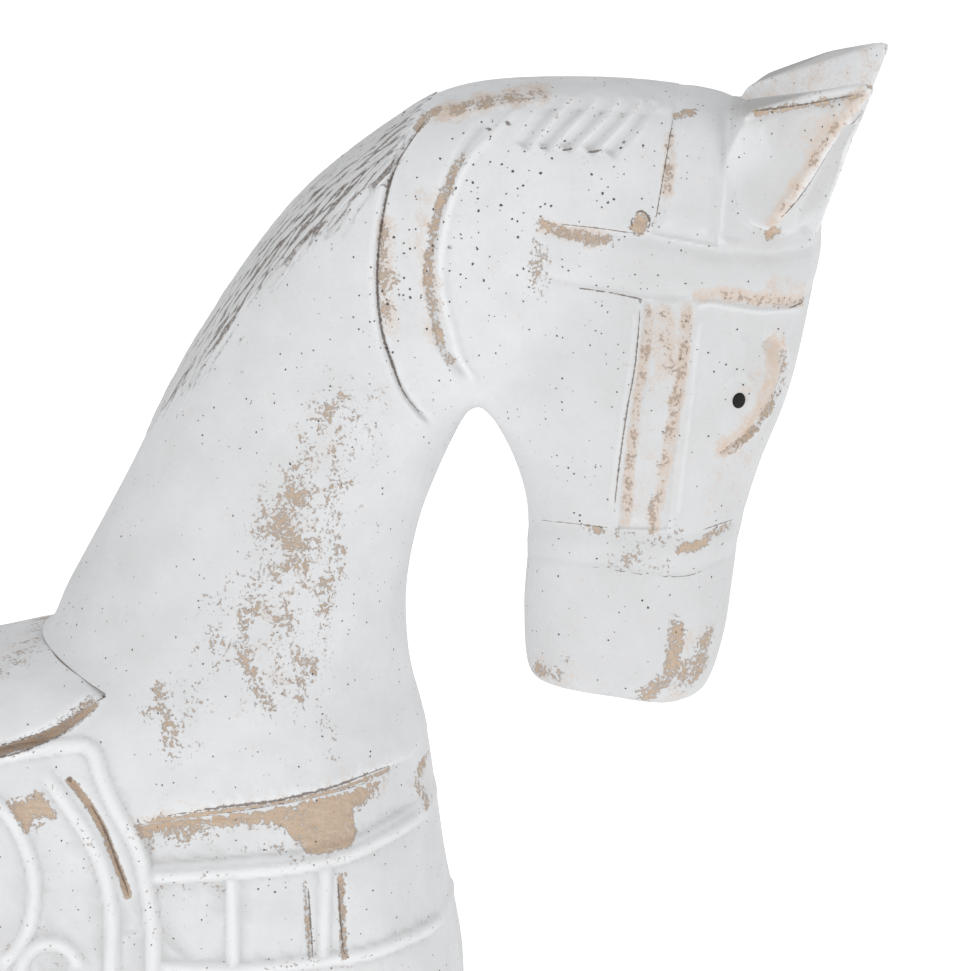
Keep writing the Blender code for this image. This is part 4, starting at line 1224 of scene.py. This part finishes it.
def ahead_share(co):
    """How much of the collar's carving there is: less in front than at the sides."""
    return COLLAR_AHEAD + (1 - COLLAR_AHEAD) * smooth_step(*COLLAR_SIDE, np.abs(co[:, 1]) / MM)


def body_beads(co, normal):
    """Collar and saddle cloth. The cloth is the same before and behind its middle."""
    spots = drawing(co, normal, BODY_HALF_WIDTH)
    folded = co.copy()
    folded[:, 0] = np.abs(co[:, 0] - CLOTH_CENTRE[0] * MM) + CLOTH_CENTRE[0] * MM
    fold_spots = drawing(folded, normal * np.array((0.0, 1.0, 1.0)), BODY_HALF_WIDTH)
    collar = ahead_share(co) * carved_lines(spots, COLLAR_BEADS, BEAD_POWER)
    return np.maximum(collar, side_share(normal) * carved_lines(fold_spots, cloth_lines(), BEAD_POWER))


def body_marks(co, normal):
    """Carving and wear that body, saddle and the neck's foot share: the rise, and the marks."""
    spots = drawing(co, normal, BODY_HALF_WIDTH)
    side = side_share(normal)
    rise = body_beads(co, normal) - carved_lines(spots, BODY_GROOVES, GROOVE_POWER)
    edge, _, _ = distance(spots, saddle_edge(), LINE_REACH)
    half, depth = SADDLE_GROOVE
    rise -= depth * side * np.clip(1 - (edge / half) ** 2, 0, 1)
    depth, wall = COLLAR_POCKET
    rise -= depth * ahead_share(co) * (1 - smooth_step(-wall, 0.0, inside(spots, COLLAR_POCKET_OUTLINE)))
    shifted = other_side(spots, co)
    rear = smooth_step(*REAR_FROM, -co[:, 0] / MM)
    patches, haze = cloud_wear(co, rear)
    bare = np.maximum(worn(shifted, BODY_BARE, BODY_BARE_PATCHES), patches)
    begin, end = GROOVE_BARE_END
    bare = np.maximum(bare, GROOVE_BARE * side * (1 - smooth_step(begin * half, end * half, edge)))
    # Dirt and painted shade on the groove's rim, and dark lines of both along its edges
    strength, width = GROOVE_RIM
    rim = side * strength * np.exp(-((edge - half) / width) ** 2)
    haze = np.maximum(worn(shifted, BODY_HAZE), haze)
    lines = [(saddle_edge() + (0.0, step * half * MM / UNIT), thick) for step, thick in SADDLE_GROOVE_LINES]
    line = np.where(rear < 0.5, line_field(spots, BODY_LINES + lines), FAR)
    return rise, {"bare": bare, "dirt_and_shade": rim, "haze": haze, "line": line}


def cloud_wear(co, share):
    """Bare wood and haze in clouds, where there is a share of them."""
    cloud = share * clouds(co, WEAR_CLOUD)
    return WORN_PATCH * smooth_step(*WEAR_LIMITS, cloud), smooth_step(*HAZE_LIMITS, cloud)


def make_body(paint):
    body = horse_skin("carved_body")
    neck = cutter("neck_room", NECK_SPACE, (SEAM_SPARE, SEAM_SPARE))
    back = cutter("back_room", back_space(), (0.0, SADDLE_SPARE))
    combine(body, (neck, "DIFFERENCE"), (back, "DIFFERENCE"))
    remeshed(body, *BODY_MESH)
    mesh = body.data
    co, normal = points_of(mesh), normals_of(mesh)
    rise, marks = body_marks(co, normal)
    move_points(mesh, co + normal * rise[:, None] * MM)
    weather(mesh, **marks)
    thinned(body)
    neck, back = cutter("neck_room", NECK_SPACE), cutter("back_room", back_space())
    return cut_block(body, paint, "body", (neck, "DIFFERENCE"), (back, "DIFFERENCE"))


def make_saddle(paint):
    saddle = saddle_skin("carved_saddle")
    neck = cutter("neck_room", NECK_SPACE, (SADDLE_SPARE, SADDLE_SPARE))
    back = cutter("back_space", back_space(), (0.0, -SADDLE_SPARE))
    combine(saddle, (back, "INTERSECT"), (neck, "DIFFERENCE"))
    remeshed(saddle, *SADDLE_MESH)
    mesh = saddle.data
    co, normal = points_of(mesh), normals_of(mesh)
    rise, marks = body_marks(co, normal)
    move_points(mesh, co + normal * np.minimum(rise, 0.0)[:, None] * MM)
    weather(mesh, pores=np.full(len(co), SADDLE_PORES), **marks)
    neck = cutter("neck_room", NECK_SPACE, (-JOINT_GAP, -JOINT_GAP))
    back = cutter("back_space", back_space(), (0.0, JOINT_GAP))
    return cut_block(saddle, paint, "saddle", (back, "INTERSECT"), (neck, "DIFFERENCE"))


def make_plain(node, paint, sizes):
    """A piece that keeps its CAD shape, with softened edges and wear."""
    obj = remeshed(copy_of(node), *sizes)
    bare, haze = cloud_wear(points_of(obj.data), 1.0)
    weather(obj.data, bare=bare, haze=haze)
    return place_piece(obj, paint, "limewashed_wood", node)


def make_tail(paint):
    """The tail, with the way of its hair stored for the gouge strokes."""
    tail = make_plain("tail", paint, TAIL_MESH)
    co = points_of(tail.data)
    path = rows_through(TAIL_PATH, TAIL_STEPS) * MM
    ways = np.gradient(path, axis=0)
    nearest = np.argmin(np.linalg.norm(co[:, None, ::2] - path[None], axis=2), axis=1)
    flow = np.zeros_like(co)
    flow[:, ::2] = ways[nearest] / np.linalg.norm(ways[nearest], axis=1)[:, None]
    set_attribute(tail.data, "hair", smooth_step(*TAIL_HAIR_END, co[:, 2]))
    set_attribute(tail.data, "flow", flow)
    return tail


def make_eye(side, head, black):
    """A low oval bead on the carved head, where the peg is."""
    low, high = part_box("eye_" + side)
    middle = (low + high) / 2
    out = Vector((0.0, SIDES[side], 0.0))
    tree = BVHTree.FromPolygons([v.co for v in head.data.vertices], [f.vertices for f in head.data.polygons])
    start = Vector((middle.x, 0.0, middle.z)) + out * CUTTER_REACH * MM
    place, normal, _, _ = tree.ray_cast(start, -out)
    bm = bmesh.new()
    bmesh.ops.create_uvsphere(bm, u_segments=32, v_segments=20, radius=1.0)
    turn = normal.to_track_quat("Z", "Y").to_matrix().to_4x4()
    size = Matrix.Diagonal([half * MM for half in EYE_SIZE] + [1.0])
    bm.transform(Matrix.Translation(place) @ turn @ size)
    eye = object_from("eye_bead_" + side, bm)
    eye.data.shade_smooth()
    return place_piece(eye, black, "eye_black", "eye_" + side)


def grown(name, carrier, tree, values, material, slot, *nodes):
    """The plain mesh that a Geometry Nodes tree makes on a copy of the carrier's mesh."""
    obj = object_of(name, carrier.copy())
    modifier = obj.modifiers.new(name, "NODES")
    modifier.node_group = tree
    for item in tree.interface.items_tree:
        if item.item_type == "SOCKET" and item.in_out == "INPUT" and item.name in values:
            modifier[item.identifier] = values[item.name]
    apply_modifiers(obj)
    obj.data.shade_smooth()
    return place_piece(obj, material, slot, *nodes)


def new_tree(name, *numbers):
    """A Geometry Nodes tree with these numbers and a material as inputs. Gives the tree and its inputs."""
    tree = bpy.data.node_groups.new(name, "GeometryNodeTree")
    tree.interface.new_socket("Geometry", in_out="INPUT", socket_type="NodeSocketGeometry")
    tree.interface.new_socket("Geometry", in_out="OUTPUT", socket_type="NodeSocketGeometry")
    for label in numbers:
        kind = "NodeSocketInt" if label == "Seed" else "NodeSocketFloat"
        tree.interface.new_socket(label, in_out="INPUT", socket_type=kind)
    tree.interface.new_socket("Material", in_out="INPUT", socket_type="NodeSocketMaterial")
    return tree, add(tree, "NodeGroupInput").outputs


def stored(tree, name, kind="FLOAT_VECTOR"):
    return add(tree, "GeometryNodeInputNamedAttribute", {"Name": name}, data_type=kind).outputs[0]


def moved_down(tree, geometry, depth):
    below = add(tree, "ShaderNodeCombineXYZ", {2: depth}).outputs[0]
    return add(tree, "GeometryNodeTransform", {"Geometry": geometry, "Translation": below}).outputs[0]


def made_real(tree, placed, material):
    """Ends a tree: the instances become a plain mesh with the material."""
    real = add(tree, "GeometryNodeRealizeInstances", {0: placed}).outputs[0]
    done = add(tree, "GeometryNodeSetMaterial", {"Geometry": real, "Material": material}).outputs[0]
    add(tree, "NodeGroupOutput", {"Geometry": done})
    return tree


def hair_ridges():
    """Spindle-shaped ridges between gouge cuts, spread where there is hair and laid along the flow."""
    tree, given = new_tree("hair_ridges", "Length", "Width", "Height", "Spacing", "Seed")
    hair, flow = stored(tree, "hair", "FLOAT"), stored(tree, "flow")
    seed = given["Seed"]
    spread = add(tree, "GeometryNodeDistributePointsOnFaces", {
        "Mesh": given["Geometry"], "Distance Min": given["Spacing"], "Density Max": RIDGE_DENSITY,
        "Density Factor": hair, "Seed": seed}, distribute_method="POISSON")
    stray = add(tree, "FunctionNodeRandomValue", {
        0: (-RIDGE_STRAY,) * 3, 1: (RIDGE_STRAY,) * 3, "Seed": seed}, data_type="FLOAT_VECTOR").outputs[0]
    way = add(tree, "ShaderNodeVectorMath", {0: flow, 1: stray}, operation="ADD").outputs[0]
    outward = spread.outputs["Normal"]
    turn = add(tree, "FunctionNodeAlignRotationToVector", {"Vector": outward}, axis="Z").outputs[0]
    turn = add(tree, "FunctionNodeAlignRotationToVector", {"Rotation": turn, "Vector": way},
               axis="X", pivot_axis="Z").outputs[0]
    least, most = RIDGE_SIZES
    size = add(tree, "FunctionNodeRandomValue", {2: least, 3: most, "Seed": seed},
               data_type="FLOAT").outputs[1]
    points = spread.outputs["Points"]
    clean = add(tree, "GeometryNodeRemoveAttribute", {"Geometry": points, "Name": "dirt_and_shade"}).outputs[0]
    ball = add(tree, "GeometryNodeMeshUVSphere", {"Segments": 6, "Rings": 6, "Radius": 0.5}).outputs[0]
    shape = add(tree, "ShaderNodeCombineXYZ", {
        0: given["Length"], 1: given["Width"], 2: given["Height"]}).outputs[0]
    ridge = add(tree, "GeometryNodeTransform", {"Geometry": ball, "Scale": shape}).outputs[0]
    placed = add(tree, "GeometryNodeInstanceOnPoints", {
        "Points": clean, "Instance": ridge, "Rotation": turn, "Scale": size}).outputs[0]
    return made_real(tree, placed, given["Material"])


def screws():
    """Countersunk screws with a cross recess, one on each point, their heads towards the point's up."""
    tree, given = new_tree("screws", *SCREW)
    head_depth, shank_length = given["Head Depth"], given["Shank Length"]
    head = add(tree, "GeometryNodeMeshCone", {
        "Vertices": 32, "Radius Top": given["Head Radius"], "Radius Bottom": given["Shank Radius"],
        "Depth": head_depth}).outputs[0]
    down = maths(tree, "MULTIPLY", head_depth, -1.0)
    head = moved_down(tree, head, down)
    arm = add(tree, "ShaderNodeCombineXYZ", {
        0: given["Head Radius"], 1: given["Recess Width"], 2: head_depth}).outputs[0]
    recess = add(tree, "GeometryNodeMeshCube", {"Size": arm}).outputs[0]
    for angle in (0.0, math.pi / 2):
        turned = add(tree, "GeometryNodeTransform", {
            "Geometry": recess, "Rotation": (0.0, 0.0, angle)}).outputs[0]
        head = add(tree, "GeometryNodeMeshBoolean", {"Mesh 1": head, "Mesh 2": turned},
                   operation="DIFFERENCE").outputs[0]
    tip = add(tree, "GeometryNodeMeshCone", {
        "Vertices": 16, "Radius Top": given["Shank Radius"], "Radius Bottom": given["Tip Radius"],
        "Depth": shank_length}).outputs[0]
    tip = moved_down(tree, tip, maths(tree, "MULTIPLY_ADD", shank_length, -1.0, down))
    screw = add(tree, "GeometryNodeJoinGeometry")
    for piece in (head, tip):
        tree.links.new(piece, screw.inputs[0])
    turn = add(tree, "FunctionNodeAlignRotationToVector", {"Vector": stored(tree, "up")}, axis="Z").outputs[0]
    placed = add(tree, "GeometryNodeInstanceOnPoints", {
        "Points": given["Geometry"], "Instance": screw.outputs[0], "Rotation": turn}).outputs[0]
    return made_real(tree, placed, given["Material"])


def make_screws(steel):
    """All screws, where the CAD screws are: each one's long axis and its upper end come from its mesh."""
    nodes = [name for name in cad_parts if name.startswith("screw_")]
    tops, ups = [], []
    for name in nodes:
        co = points_of(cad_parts[name].data)
        middle = co.mean(0)
        axis = np.linalg.svd(co - middle, full_matrices=False)[2][0]
        axis = axis * np.sign(axis[2])
        low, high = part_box(name)
        centre = np.array((low + high) / 2)
        reach = (co - centre) @ axis
        tops.append(centre + axis * reach.max())
        ups.append(axis)
    mesh = bpy.data.meshes.new("screw_places")
    mesh.from_pydata(tops, [], [])
    set_attribute(mesh, "up", np.array(ups))
    values = dict(SCREW, Material=steel)
    return grown("countersunk_screws", mesh, screws(), values, steel, "screw_steel", *nodes)


# Stage

def make_floor():
    """A pale floor with a painted glow: it gives off light of its own, less near the horse so that it is
    darker round it, and more away from it, in place of a white studio sweep lit by lamps.
    """
    bm = bmesh.new()
    bmesh.ops.create_circle(bm, cap_ends=True, segments=96, radius=FLOOR_RADIUS)
    floor = object_from("studio_floor", bm)
    material, tree, shader = new_material("studio_floor")
    reach = add(tree, "ShaderNodeVectorMath", {0: object_place(tree)}, operation="LENGTH").outputs["Value"]
    # Painted glow: the floor gives off light, less of it near the horse
    painted_glow = ranged(tree, reach, *FLOOR_PAINTED_GLOW_REACH, *FLOOR_PAINTED_GLOW)
    feed(tree, shader, {
        "Base Color": linear("#f4f4f4"), "Roughness": 0.9,
        "Emission Color": linear("#ffffff"), "Emission Strength": painted_glow})
    floor.data.materials.append(material)


def make_light():
    world = bpy.data.worlds.new("studio_light")
    world.use_nodes = True
    tree = world.node_tree
    way = add(tree, "ShaderNodeTexCoord").outputs["Generated"]
    height = add(tree, "ShaderNodeSeparateXYZ", {0: way}).outputs["Z"]
    strength = ranged(tree, height, *WORLD_RISE, *WORLD_STRENGTH)
    feed(tree, tree.nodes["Background"], {"Color": linear("#ffffff"), "Strength": strength})
    bpy.context.scene.world = world
    bpy.context.scene.view_settings.view_transform = "Standard"
    for name, place, size, power in LIGHTS:
        lamp = bpy.data.lights.new(name, "AREA")
        lamp.size = size
        lamp.energy = power
        light = object_of(name, lamp)
        light.location = place
        light.rotation_euler = (CAMERA_TARGET - Vector(place)).to_track_quat("-Z", "Y").to_euler()


def make_camera():
    camera_data = bpy.data.cameras.new("camera")
    camera_data.sensor_width = CAMERA_SENSOR
    camera_data.lens = CAMERA_SENSOR * CAMERA_DISTANCE / CAMERA_FIELD
    camera = object_of("camera", camera_data)
    back = Vector((math.sin(CAMERA_AZIMUTH) * math.cos(CAMERA_ELEVATION),
                   -math.cos(CAMERA_AZIMUTH) * math.cos(CAMERA_ELEVATION), math.sin(CAMERA_ELEVATION)))
    camera.location = CAMERA_TARGET + back * CAMERA_DISTANCE
    camera.rotation_euler = (-back).to_track_quat("-Z", "Y").to_euler()
    bpy.context.scene.camera = camera


def build():
    upright = limewashed_wood("limewashed_albizia_upright", (1.0, 1.0, 0.08))
    level = limewashed_wood("limewashed_albizia_level", (0.08, 1.0, 1.0))
    dowel_wood, black, steel = bare_wood(), eye_black(), screw_steel()
    head = make_head(upright)
    make_body(level)
    make_saddle(level)
    for side in SIDES:
        make_eye(side, head, black)
        make_plain("runner_" + side, level, RUNNER_MESH)
        for end in ("fore", "hind"):
            make_plain(f"{end}_leg_{side}", upright, LEG_MESH)
    for place in ("front", "middle", "rear"):
        make_plain("crossbar_" + place, level, BAR_MESH)
    tail = make_tail(upright)
    ridges = hair_ridges()
    for name, carrier, values in (("mane_ridges", head, MANE_RIDGES), ("tail_ridges", tail, TAIL_RIDGES)):
        grown(name, carrier.data, ridges, dict(values, Material=upright), upright, "limewashed_wood")
    make_screws(steel)
    for name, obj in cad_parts.items():
        if "dowel" in name:
            obj.material_slots[0].material = dowel_wood


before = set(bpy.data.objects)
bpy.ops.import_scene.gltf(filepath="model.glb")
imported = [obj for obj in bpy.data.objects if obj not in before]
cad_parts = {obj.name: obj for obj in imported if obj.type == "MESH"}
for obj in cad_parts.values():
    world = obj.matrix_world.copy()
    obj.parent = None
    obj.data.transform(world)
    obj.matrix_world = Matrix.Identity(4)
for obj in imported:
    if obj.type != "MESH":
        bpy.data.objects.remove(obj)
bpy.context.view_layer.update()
make_floor()
make_light()
make_camera()
build()
